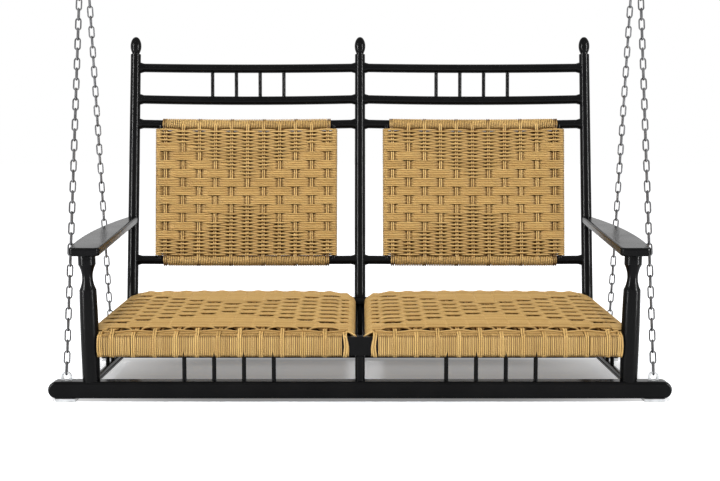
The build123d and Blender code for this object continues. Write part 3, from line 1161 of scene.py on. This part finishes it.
@dataclass
class WovenSeat(WovenPanel):
    """One woven seat: wefts round two side rails, warps from beam to rear rail, windings on both."""

    kind: ClassVar[str] = "woven_seat"
    seed: ClassVar[int] = 29
    free_turns: ClassVar[Sequence[int]] = range(15, 181, 33)
    rear_turns: ClassVar[Sequence[int]] = range(15, 286, 30)
    warp_turns: ClassVar[Sequence[int]] = range(75, -136, -30)
    front_stations: ClassVar[int] = 10
    wave_steps: ClassVar[int] = 8
    tie: ClassVar[Sequence[Point]] = (
        (26.0, 8.0, 7.6), (20.0, 1.0, 6.0), (14.0, -5.0, 4.2), (10.0, -9.5, 2.6), (8.0, -11.5, 1.2))

    bench: Bench
    side: Side
    beam_half: float = 11.0
    beam_low: float = 71.6
    beam_high: float = 109.6
    beam_corner: float = 3.0
    beam_shoulder: float = 9.0
    slope: float = math.radians(2.6)
    rail_radius: float = 9.5
    rail_room: float = 2.0
    inner_rail: float = 27.9
    outer_front: float = 553.0
    outer_rear: float = 541.0
    rear_rail: float = 453.5
    strand_radius: float = 2.19
    weft_groove: float = 0.42
    warp_middle: float = 290.0
    warp_gap: float = 43.6
    warp_proud: float = 1.0
    warp_sink: float = 0.4
    edge_warps: Flat = (31.0, 533.0)
    front_row: float = 2.0
    second_row: float = 33.0
    row_pitch: float = 4.375
    tucked_rows: int = 4
    tucked_shade: float = 0.4
    crown: float = 2.5
    droop: float = 2.0
    droop_start: float = 28.0
    droop_span: float = 45.0
    wave: float = 3.4
    under_stop: float = 446.0
    corner_start: float = 425.0
    corner_draw: float = 4.0
    winding_radius: float = 1.82
    winding_pitch: float = 4.3
    wrap_ends: Flat = (38.8, 535.8)
    turn_slip: float = 0.15
    turn_rises: Flat = (-0.15, 0.25)
    # Painted shade between the turns on the beam's front.
    turn_shade: float = 0.85
    turn_depth: float = 1.8
    leaning_turn: Flat = (24.6, 28.6)
    loose_place: float = 465.0
    loose_slip: float = 1.1
    belly: float = 0.9
    barrel: float = 1.6
    barrel_span: float = 14.0
    slit: float = 2.4
    slit_start: float = 1.0
    slit_span: float = 2.0
    spindles: Sequence[float] = (177.4, 238.8, 300.2, 361.6)
    spindle_room: float = 5.0
    parting_height: float = 8.0
    parting_share: float = 0.4

    def __post_init__(self) -> None:
        """Lays out the weave, and works out how far off the rails strands run."""
        pattern = WeavePattern(warps=13, bundles=15, bundle_rows=5, plain_before=9, plain_after=10, border=4)
        half = pattern.warps // 2
        middle = [self.warp_middle + step * self.warp_gap for step in range(1 - half, half)]
        places = [self.edge_warps[0], *middle, self.edge_warps[1]]
        rows = [self.front_row]
        rows += [self.second_row + self.row_pitch * row for row in range(pattern.rows - 1)]
        self.weave = Weave(pattern, places, rows, dip=22.0, plain_dip=20.0, crossing=6.0,
                           edge_crossing=4.4, edge_drop=3.0)
        self.beam_middle = (self.beam_low + self.beam_high) / 2
        self.stack = 3 * self.strand_radius
        self.loop = self.rail_radius + self.stack

    def seat_height(self, along: float) -> float:
        """Height of the rails' tops at a place from front to rear."""
        return self.beam_high + along * math.tan(self.slope)

    def outer_rail(self, along: float) -> float:
        """Place across of the outer rail, which draws in towards the rear."""
        return mix(self.outer_front, self.outer_rear, along / self.rear_rail)

    def swell(self, across: float, along: float) -> float:
        """Crown of the sheet between the side rails, and its droop at the front edge.

        Args:
            across: Place across, from the bench's middle.
            along: Place from front to rear.

        Returns:
            Height over a flat sheet.
        """
        share = (across - self.inner_rail) / (self.outer_rear - self.inner_rail)
        arch = max(0.0, 1.0 - (2 * share - 1) ** 2)
        return self.crown * arch - self.droop * (1.0 - ease((along - self.droop_start) / self.droop_span))

    def rise(self, z: float) -> float:
        """Place of a height on the beam, from -1 at its foot to 1 at its top."""
        return (z - self.beam_middle) / (self.beam_high - self.beam_middle)

    def spot(self, across: float, along: float, height: float) -> Point:
        """Row-frame point at a place on the seat and a height over its middle sheet."""
        z = self.seat_height(along) + self.stack + self.swell(across, along) + height
        return self.bench.place(self.side.value * across, along, z)

    def hollow(self, point: Point) -> float:
        """Painted shade of a point of a weft from how deep it lies between the seat's two layers.

        Args:
            point: The point in the row frame.

        Returns:
            Painted shade from 0 to 1.
        """
        x, along, z = self.bench.unplace(point)
        across = self.side.value * x
        swell = self.swell(across, along)
        depth = self.seat_height(along) + self.stack + swell - z
        if not self.inner_rail < across < self.outer_rail(along) or depth > 2 * self.loop + swell:
            return 0.0
        tucked = along < self.second_row - self.strand_radius
        return (self.tucked_shade if tucked else 1.0) * hollow_share(depth)

    def between_turns(self, point: Point) -> float:
        """Painted shade of a point of the beam's winding from how deep it lies between two turns on its
        front.

        Args:
            point: The point in the row frame.

        Returns:
            Painted shade from 0 to the turns' full shade.
        """
        _, y, z = self.bench.unplace(point)
        if y >= -self.beam_half:
            return 0.0
        bulge = self.belly * (1.0 - min(1.0, self.rise(z) ** 2))
        face = self.beam_half + self.strand_radius + self.winding_radius + bulge
        return self.turn_shade * ease((y + face) / self.turn_depth)

    def round_rail(self, rail: float, end: int, along: float, loop: float, angle: float) -> Point:
        """Point of a loop round a side rail.

        Args:
            rail: Place of the rail across.
            end: 1 at the outer rail, -1 at the inner one.
            along: Place from front to rear.
            loop: Radius of the loop.
            angle: Angle in degrees: 0 is the rail's top, 90 the side away from the seat.

        Returns:
            The point in the row frame.
        """
        turn = math.radians(angle)
        z = self.seat_height(along) - self.rail_radius + loop * math.cos(turn)
        return self.bench.place(self.side.value * (rail + end * loop * math.sin(turn)), along, z)

    def round_rear(self, across: float, radius: float, angle: float) -> Point:
        """Point round the rear rail.

        Args:
            across: Place along the rail.
            radius: Distance from its axis.
            angle: Angle in degrees: 0 is the rail's rear, 90 its top.

        Returns:
            The point in the row frame.
        """
        turn = math.radians(angle)
        z = self.seat_height(self.rear_rail) - self.rail_radius + radius * math.sin(turn)
        return self.bench.place(self.side.value * across, self.rear_rail + radius * math.cos(turn), z)

    def wefts(self) -> Strands:
        """Lays the front wave on the beam, and every other weft across and round both side rails.

        Returns:
            The wefts.
        """
        strands = Strands(self.piece_name("wefts"), self.strand_radius, lane=(0.0, 1.0, 0.0),
                          lane_width=self.row_pitch, lane_start=self.spot(0.0, self.second_row, 0.0),
                          groove=self.weft_groove, hollow=self.hollow)
        strands.lay(self.front_wave())
        for row, along in enumerate(self.weave.row_places[1:], start=1):
            line = self.looped(along, self.weave.weft_line(row, self.front_offsets))
            strands.lay(line, closed=along < self.under_stop)
        for count in range(1, self.tucked_rows + 1):
            along = self.second_row - self.row_pitch * count
            level = [(across, along, -2 * self.strand_radius) for across in self.weave.warp_places]
            strands.lay(self.looped(along, level), closed=True)
        return strands

    def front_wave(self) -> List[Point]:
        """Path of the strand along the beam, which goes over one warp and under the next.

        Returns:
            Points in the row frame.
        """
        wave: List[Point] = []
        places = self.weave.warp_places
        for index, (near, far) in enumerate(zip(places, places[1:])):
            for step in range(self.wave_steps):
                share = step / self.wave_steps
                swing = (1 + math.cos(math.pi * (index + share))) / 2
                wave.append(self.spot(mix(near, far, share), self.front_row, self.droop + self.wave * swing))
        return wave

    def looped(self, along: float, sheet: Sequence[Point]) -> List[Point]:
        """Path of a weft over the seat and round both side rails.

        Args:
            along: Place of the row from front to rear.
            sheet: Points of the row on the seat, as place across, place along and height.

        Returns:
            Points in the row frame.
        """
        draw = self.corner_draw * ease((along - self.corner_start) / (self.rear_rail - self.corner_start))
        loop = self.loop - draw
        outer = self.outer_rail(along)
        low, high = self.inner_rail + self.rail_room, outer - self.rail_room
        turns = self.free_turns if along < self.under_stop else self.rear_turns
        line = [self.round_rail(self.inner_rail, -1, along, loop, angle) for angle in reversed(turns)]
        line += [self.spot(*place) for place in sheet if low < place[0] < high]
        line += [self.round_rail(outer, 1, along, loop, angle) for angle in turns]
        return line

    def beam_ring(self) -> List[Station]:
        """Stations round the beam, from the middle of its underside up the front and down behind.

        Returns:
            Place in y and z with the outward direction in y and z.
        """
        half, low, high, middle = self.beam_half, self.beam_low, self.beam_high, self.beam_middle
        corner, shoulder = self.beam_corner, self.beam_shoulder
        slant = math.sqrt(0.5)
        return [
            (0.0, low, 0.0, -1.0),
            (corner - half, low, 0.0, -1.0),
            (-half, low, -slant, -slant),
            (-half, low + corner, -1.0, -0.1),
            (-half, low + shoulder, -1.0, 0.0),
            (-half, middle, -1.0, 0.0),
            (-half, high - shoulder, -1.0, 0.0),
            (-half, high - corner, -1.0, 0.1),
            (-half, high, -slant, slant),
            (corner - half, high, 0.0, 1.0),
            (half - corner, high, 0.0, 1.0),
            (half, high, slant, slant),
            (half, middle, 1.0, 0.0),
            (half, low, slant, -slant),
            (half - corner, low, 0.0, -1.0),
        ]

    def beam_point(self, across: float, offset: float, station: Station) -> Point:
        """Point of a strand round the beam.

        Args:
            across: Place along the beam.
            offset: Distance of the strand's axis off the beam.
            station: Station of the beam's ring.

        Returns:
            The point in the row frame.
        """
        y, z, out_y, out_z = station
        bulge = 1.0 - self.rise(z) ** 2
        step = self.part_for_spindles(across, z)
        if y < 0:
            inner, outer = self.wrap_ends
            step += self.barrel * bulge * ease((across - outer + self.barrel_span) / self.barrel_span)
            step -= self.slit * bulge * ease((inner - self.slit_start - across) / self.slit_span)
        reach = offset + self.belly * bulge
        return self.bench.place(self.side.value * (across + step), y + out_y * reach, z + out_z * reach)

    def part_for_spindles(self, across: float, z: float) -> float:
        """Sideways step of a winding that parts round a spindle's head at the beam's lower edge.

        Args:
            across: Place of the turn along the beam.
            z: Height on the beam.

        Returns:
            The step across.
        """
        share = self.parting_share * ease(1.0 - (z - self.beam_low) / self.parting_height)
        for spindle in self.spindles:
            away = across - spindle
            if abs(away) < self.spindle_room:
                return math.copysign(self.spindle_room - abs(away), away) * share
        return 0.0

    def warps(self) -> Strands:
        """Lays each pair of warps up the beam's front, along the seat and down behind the rear rail.

        Returns:
            The warps.
        """
        strands = Strands(self.piece_name("warps"), self.weave.warp_radius, lane_width=self.warp_gap,
                          lane_start=self.bench.place(self.side.value * self.warp_middle, 0.0, 0.0))
        front = self.beam_ring()[:self.front_stations]
        offset = self.strand_radius + self.warp_proud
        over = self.loop - self.warp_sink
        for warp, middle in enumerate(self.weave.warp_places, start=1):
            lift = self.weave.crossing if warp % 2 == 0 else 0.0
            for across in self.weave.twins(middle):
                line = [self.beam_point(across, offset, station) for station in front]
                line.append(self.spot(across, self.front_row, self.droop + lift))
                for row in range(1, self.weave.pattern.rows - 1):
                    rise = self.weave.warp_height(row, warp)
                    line.append(self.spot(across, self.weave.row_places[row], rise))
                line += [self.round_rear(across, over, angle) for angle in self.warp_turns]
                strands.lay(line)
        return strands

    def windings(self) -> Strands:
        """Winds the beam and the rear rail, and ties the beam's winding off by the bracket.

        Returns:
            The windings and the tie.
        """
        turns = self.weave.clear_turns(*self.wrap_ends, self.weave.warp_places[1:-1], self.winding_pitch)
        borders = sorted(self.side.value * (near + far) / 2 for near, far in zip(turns, turns[1:]))
        strands = Strands(self.piece_name("windings"), self.winding_radius, borders=borders,
                          hollow=self.between_turns)
        self.wind_beam(strands, turns)
        radius = self.rail_radius + self.strand_radius
        line: List[Point] = []
        for step in range(int((self.outer_rear - self.inner_rail) / self.winding_pitch) * TURN_STEPS):
            across = self.inner_rail + self.winding_pitch * step / TURN_STEPS
            line.append(self.round_rear(across, radius, -90 + 360 * step / TURN_STEPS))
        strands.lay(line)
        strands.lay([self.bench.place(self.side.value * x, y, self.beam_high + z) for x, y, z in self.tie])
        return strands

    def wind_beam(self, strands: Strands, turns: Sequence[float]) -> None:
        """Adds the turns round the beam, close together but for a few loose ones and one that leans.

        Args:
            strands: Strands that take up the turns.
            turns: Places of the turns along the beam.
        """
        chance = random.Random(self.seed + self.side.value)
        stations = self.beam_ring()
        for middle in turns:
            loose = 0.0 < middle - self.loose_place < 2 * self.winding_pitch
            slip = chance.uniform(-self.turn_slip, self.turn_slip) + (self.loose_slip if loose else 0.0)
            offset = self.strand_radius + chance.uniform(*self.turn_rises)
            line = [self.beam_point(middle + slip, offset, station) for station in stations]
            strands.lay(line, closed=True)
        leaning = []
        for station in stations:
            share = (station[1] - self.beam_low) / (self.beam_high - self.beam_low)
            leaning.append(self.beam_point(mix(*self.leaning_turn, share), self.strand_radius, station))
        strands.lay(leaning, closed=True)


@dataclass
class HangingGear:
    """Round-wire chains, rings and ceiling eyes of one side."""

    bench: Bench
    side: Side
    eye_x: float = 604.5
    hook_x: float = 615.0
    seat_z: float = 29.25
    ring_drop: float = 12.6
    pitch: float = 22.6
    wire: float = 3.6
    half_width: float = 5.5
    half_length: float = 13.25
    front_links: int = 46
    rear_links: int = 45
    ring_radius: float = 20.0
    ring_wire: float = 6.0
    eye_radius: float = 14.0
    eye_wire: float = 8.0
    shank: float = 60.0
    shank_steps: int = 6
    thick_roundness: int = 2

    def link(self, centre: Point, along: Point, across: Point) -> List[Point]:
        """Centre line of one link: two straight sides and two half-round ends.

        Args:
            centre: Middle of the link, in metres.
            along: Direction of the chain.
            across: Direction of the link's width.

        Returns:
            Points in the row frame.
        """
        line = []
        straight = self.half_length - self.half_width
        for end in (1, -1):
            for angle in map(math.radians, HALF_TURN):
                side = end * math.cos(angle) * self.half_width
                reach = end * (straight + math.sin(angle) * self.half_width)
                line.append(tuple(centre[i] + (across[i] * side + along[i] * reach) * MM for i in range(3)))
        return line

    def chain(self, name: str, eye: Point, ring: Point, links: int, first_flat: bool) -> Strands:
        """Lays one chain, each link turned a quarter from the one below.

        Args:
            name: Name of the piece.
            eye: Where it starts, in its lug.
            ring: Where it ends, on its ring.
            links: Number of its links.
            first_flat: Whether the first link lies across the bench.

        Returns:
            The chain's links.
        """
        strands = Strands(name, self.wire / 2)
        span = [ring[i] - eye[i] for i in range(3)]
        length = math.sqrt(sum(part * part for part in span))
        along = tuple(part / length for part in span)
        flat = [(1.0 if i == 0 else 0.0) - along[i] * along[0] for i in range(3)]
        size = math.sqrt(sum(part * part for part in flat))
        across = tuple(part / size for part in flat)
        deep = tuple(along[i - 2] * across[i - 1] - along[i - 1] * across[i - 2] for i in range(3))
        for count in range(links):
            reach = (self.half_length + self.pitch * count) * MM
            centre = tuple(eye[i] + along[i] * reach for i in range(3))
            wide = across if (count % 2 == 0) == first_flat else deep
            strands.lay(self.link(centre, along, wide), closed=True)
        return strands

    def build(self, dresser: Dresser) -> None:
        """Builds and dresses both chains, the ring and the ceiling eye.

        Args:
            dresser: Puts the finishes on.
        """
        sign, word = self.side.value, self.side.word
        ring = (sign * self.hook_x * MM, 0.0, -self.ring_drop * MM)
        ends = (("front", 0.0, self.front_links, False), ("rear", self.bench.depth, self.rear_links, True))
        for end, y, links, flat in ends:
            node = f"chain_{end}_{word}"
            eye = self.bench.place(sign * self.eye_x, y, self.seat_z)
            chain = self.chain(f"round_{node}", eye, ring, links, flat)
            dresser.dress(chain.mesh(), Slot.CHAIN, Body.SWING, node)
        circle = [(math.cos(angle), math.sin(angle)) for angle in map(math.radians, FULL_TURN)]
        x, y, z = ring
        loop = Strands(f"round_ring_{word}", self.ring_wire / 2, self.thick_roundness)
        reach = self.ring_radius * MM
        loop.lay([(x, y + reach * cos, z + reach * sin) for cos, sin in circle], closed=True)
        dresser.dress(loop.mesh(), Slot.CHAIN, Body.SWING, f"hanging_ring_{word}")
        screw = Strands(f"round_ceiling_eye_{word}", self.eye_wire / 2, self.thick_roundness)
        reach = self.eye_radius * MM
        screw.lay([(x + reach * cos, 0.0, reach + reach * sin) for cos, sin in circle], closed=True)
        rises = [self.shank * MM * step / self.shank_steps for step in range(self.shank_steps + 1)]
        screw.lay([(x, 0.0, 2 * reach + rise) for rise in rises])
        dresser.dress(screw.mesh(), Slot.CHAIN, Body.CEILING, f"ceiling_eye_{word}")


@dataclass
class PhotoCamera:
    """Camera at the photograph's place, fitted from the bench's own edges.

    Places are in metres, the pitch is in degrees, and lens and sensor are in millimetres.
    """

    bench: Bench
    distance: float = 2.4546
    rise: float = 0.5203
    pitch: float = 4.936
    lens: float = 60.85
    sensor: float = 36.0
    clip_end: float = 100.0

    def build(self) -> None:
        """Adds the camera and makes it the scene's own."""
        data = bpy.data.cameras.new("photo_camera")
        data.lens = self.lens
        data.sensor_width = self.sensor
        data.sensor_fit = "HORIZONTAL"
        data.clip_end = self.clip_end
        camera = bpy.data.objects.new("photo_camera", data)
        bpy.context.scene.collection.objects.link(camera)
        camera.location = (0.0, self.bench.front_face - self.distance, self.bench.mid_z * MM + self.rise)
        camera.rotation_euler = (math.radians(90.0 - self.pitch), 0.0, 0.0)
        bpy.context.scene.camera = camera


@dataclass(frozen=True)
class Softbox:
    """Soft rectangular lamp turned towards a point, for light alone or for highlights alone."""

    name: str
    place: Point
    aim: Point
    size: Flat
    power: float
    glossy: bool = False

    def build(self) -> bpy.types.Object:
        """Adds the lamp.

        Returns:
            The lamp's object.
        """
        data = bpy.data.lights.new(self.name, "AREA")
        data.shape = "RECTANGLE"
        data.size, data.size_y = self.size
        data.energy = self.power
        lamp = bpy.data.objects.new(self.name, data)
        bpy.context.scene.collection.objects.link(lamp)
        lamp.location = self.place
        x, y, z = (self.aim[i] - self.place[i] for i in range(3))
        lamp.rotation_euler = (math.atan2(math.hypot(x, y), -z), 0.0, math.atan2(-x, y))
        lamp.visible_glossy = self.glossy
        lamp.visible_diffuse = not self.glossy
        return lamp


@dataclass
class Studio:
    """Pale floor, white surroundings and soft lamps, in metres and watts."""

    floor_z: float
    sky: float = 0.14
    floor_size: float = 40.0
    paper: Colour = (0.78, 0.80, 0.83)
    near_glow: float = 0.23
    glow_shift: float = 0.06
    glow_reach: Flat = (0.95, 0.62)
    glow_fade: Flat = (0.45, 1.0)
    strip_place: Point = (2.4, -1.4, -0.2)
    strip_aim: Point = (0.0, 0.1, -0.5)
    strip_size: Flat = (0.2, 2.2)
    strip_power: float = 190.0
    softboxes: Tuple[Softbox, ...] = (
        Softbox("key_softbox", (-0.25, -2.9, 2.0), (0.0, 0.0, -0.7), size=(1.8, 0.7), power=194.0),
        Softbox("top_softbox", (0.0, 0.2, 1.9), (0.0, 0.1, -0.8), size=(2.6, 1.4), power=6.0),
        Softbox("front_softbox", (0.6, -4.2, 0.3), (0.0, 0.0, -0.7), size=(3.0, 2.0), power=8.0),
        Softbox("rear_softbox", (0.3, 3.2, 0.9), (0.0, 0.1, -0.7), size=(2.0, 1.4), power=18.0),
    )

    def seen_mask(self, board: NodeBoard) -> bpy.types.NodeSocket:
        """Mask of the rays that should see white: camera, glossy and transmission rays.

        Args:
            board: Node board that takes the mask's nodes.

        Returns:
            Socket of the mask.
        """
        path = board.add("ShaderNodeLightPath")
        first = board.add("ShaderNodeMath", operation="MAXIMUM")
        second = board.add("ShaderNodeMath", operation="MAXIMUM")
        board.wire(path.outputs["Is Camera Ray"], first.inputs[0])
        board.wire(path.outputs["Is Glossy Ray"], first.inputs[1])
        board.wire(first.outputs["Value"], second.inputs[0])
        board.wire(path.outputs["Is Transmission Ray"], second.inputs[1])
        return second.outputs["Value"]

    def world(self) -> None:
        """White surroundings for the eye, a softer grey for the light."""
        world = bpy.data.worlds.new("white_studio")
        world.use_nodes = True
        board = NodeBoard(world.node_tree)
        choice = board.add("ShaderNodeMixShader")
        board.wire(self.seen_mask(board), choice.inputs[0])
        for place, strength in ((1, self.sky), (2, 1.0)):
            backdrop = board.add("ShaderNodeBackground")
            backdrop.inputs["Color"].default_value = (*WHITE, 1.0)
            backdrop.inputs["Strength"].default_value = strength
            board.wire(backdrop.outputs[0], choice.inputs[place])
        leave = board.add("ShaderNodeOutputWorld")
        board.wire(choice.outputs[0], leave.inputs["Surface"])
        bpy.context.scene.world = world

    def glow(self, board: NodeBoard) -> bpy.types.NodeSocket:
        """Strength of the floor's white for the eye: full far off, faint where the swing's shadow lies.

        Args:
            board: Node board of the floor's paper.

        Returns:
            Socket of the strength.
        """
        place = board.add("ShaderNodeTexCoord")
        squeeze = board.add("ShaderNodeMapping", vector_type="POINT")
        squeeze.inputs["Location"].default_value = (0.0, self.glow_shift, 0.0)
        squeeze.inputs["Scale"].default_value = (1.0 / self.glow_reach[0], 1.0 / self.glow_reach[1], 1.0)
        board.wire(place.outputs["Object"], squeeze.inputs["Vector"])
        away = board.add("ShaderNodeVectorMath", operation="LENGTH")
        board.wire(squeeze.outputs["Vector"], away.inputs[0])
        fade = board.add("ShaderNodeMapRange", interpolation_type="SMOOTHSTEP")
        ends = (*self.glow_fade, self.near_glow, 1.0)
        for label, value in zip(("From Min", "From Max", "To Min", "To Max"), ends):
            fade.inputs[label].default_value = value
        board.wire(away.outputs["Value"], fade.inputs["Value"])
        strength = board.add("ShaderNodeMath", operation="MULTIPLY")
        board.wire(self.seen_mask(board), strength.inputs[0])
        board.wire(fade.outputs["Result"], strength.inputs[1])
        return strength.outputs["Value"]

    def floor(self) -> None:
        """Wide pale floor that keeps the swing's shadow."""
        bpy.ops.object.select_all(action="DESELECT")
        bpy.ops.mesh.primitive_plane_add(size=self.floor_size, location=(0.0, 0.0, self.floor_z))
        floor = bpy.context.view_layer.objects.active
        floor.name = "studio_floor"
        paper = bpy.data.materials.new("studio_paper")
        paper.use_nodes = True
        board = NodeBoard(paper.node_tree)
        matt = board.add("ShaderNodeBsdfDiffuse")
        matt.inputs["Color"].default_value = (*self.paper, 1.0)
        glow = board.add("ShaderNodeEmission")
        glow.inputs["Color"].default_value = (*WHITE, 1.0)
        board.wire(self.glow(board), glow.inputs["Strength"])
        both = board.add("ShaderNodeAddShader")
        board.wire(matt.outputs[0], both.inputs[0])
        board.wire(glow.outputs[0], both.inputs[1])
        leave = board.add("ShaderNodeOutputMaterial")
        board.wire(both.outputs[0], leave.inputs["Surface"])
        floor.data.materials.append(paper)

    def spared(self) -> bpy.types.Collection:
        """Collection that keeps the strips' highlights off the round-wire pieces, which they bleach.

        Returns:
            The collection, for the strips' light linking.
        """
        wires = bpy.data.collections.new("spared_wires")
        for piece in bpy.context.scene.objects:
            if piece.name.startswith("round_"):
                wires.objects.link(piece)
        for held in wires.collection_objects:
            held.light_linking.link_state = "EXCLUDE"
        return wires

    def build(self) -> None:
        """Builds the studio."""
        bpy.context.scene.view_settings.view_transform = "Standard"
        self.world()
        self.floor()
        wires = self.spared()
        for softbox in self.softboxes:
            softbox.build()
        x, y, z = self.strip_place
        for side in Side:
            place = (side.value * x, y, z)
            strip = Softbox(f"strip_softbox_{side.value}", place, self.strip_aim, self.strip_size,
                            self.strip_power, glossy=True)
            strip.build().light_linking.receiver_collection = wires


def finishes() -> Dict[Slot, bpy.types.Material]:
    """Builds the four finishes of the swing.

    Returns:
        The material of each slot.
    """
    chain = ZincSteel("chain_zinc", (0.13, 0.13, 0.135), (0.24, 0.24, 0.245), roughness=(0.26, 0.40))
    plate = ZincSteel("plate_zinc", (0.36, 0.365, 0.37), (0.52, 0.525, 0.53), roughness=(0.30, 0.45))
    return {
        Slot.BLACK_FRAME: PowderCoat().material(),
        Slot.WICKER: WickerCord().material(),
        Slot.CHAIN: chain.material(),
        Slot.ZINC: plate.material(),
    }


def main() -> None:
    """Builds the swing's visible pieces in order, then the studio and the camera."""
    logging.basicConfig(level=logging.INFO, format="%(name)s: %(message)s")
    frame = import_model()
    bench = Bench()
    dresser = Dresser(finishes())
    dresser.paint_nodes(frame)
    for side in Side:
        WovenBack(bench, side).build(dresser)
        WovenSeat(bench, side).build(dresser)
        HangingGear(bench, side).build(dresser)
    Studio(floor_z=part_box("feet")[0][2]).build()
    PhotoCamera(bench).build()


if __name__ == "__main__":
    main()
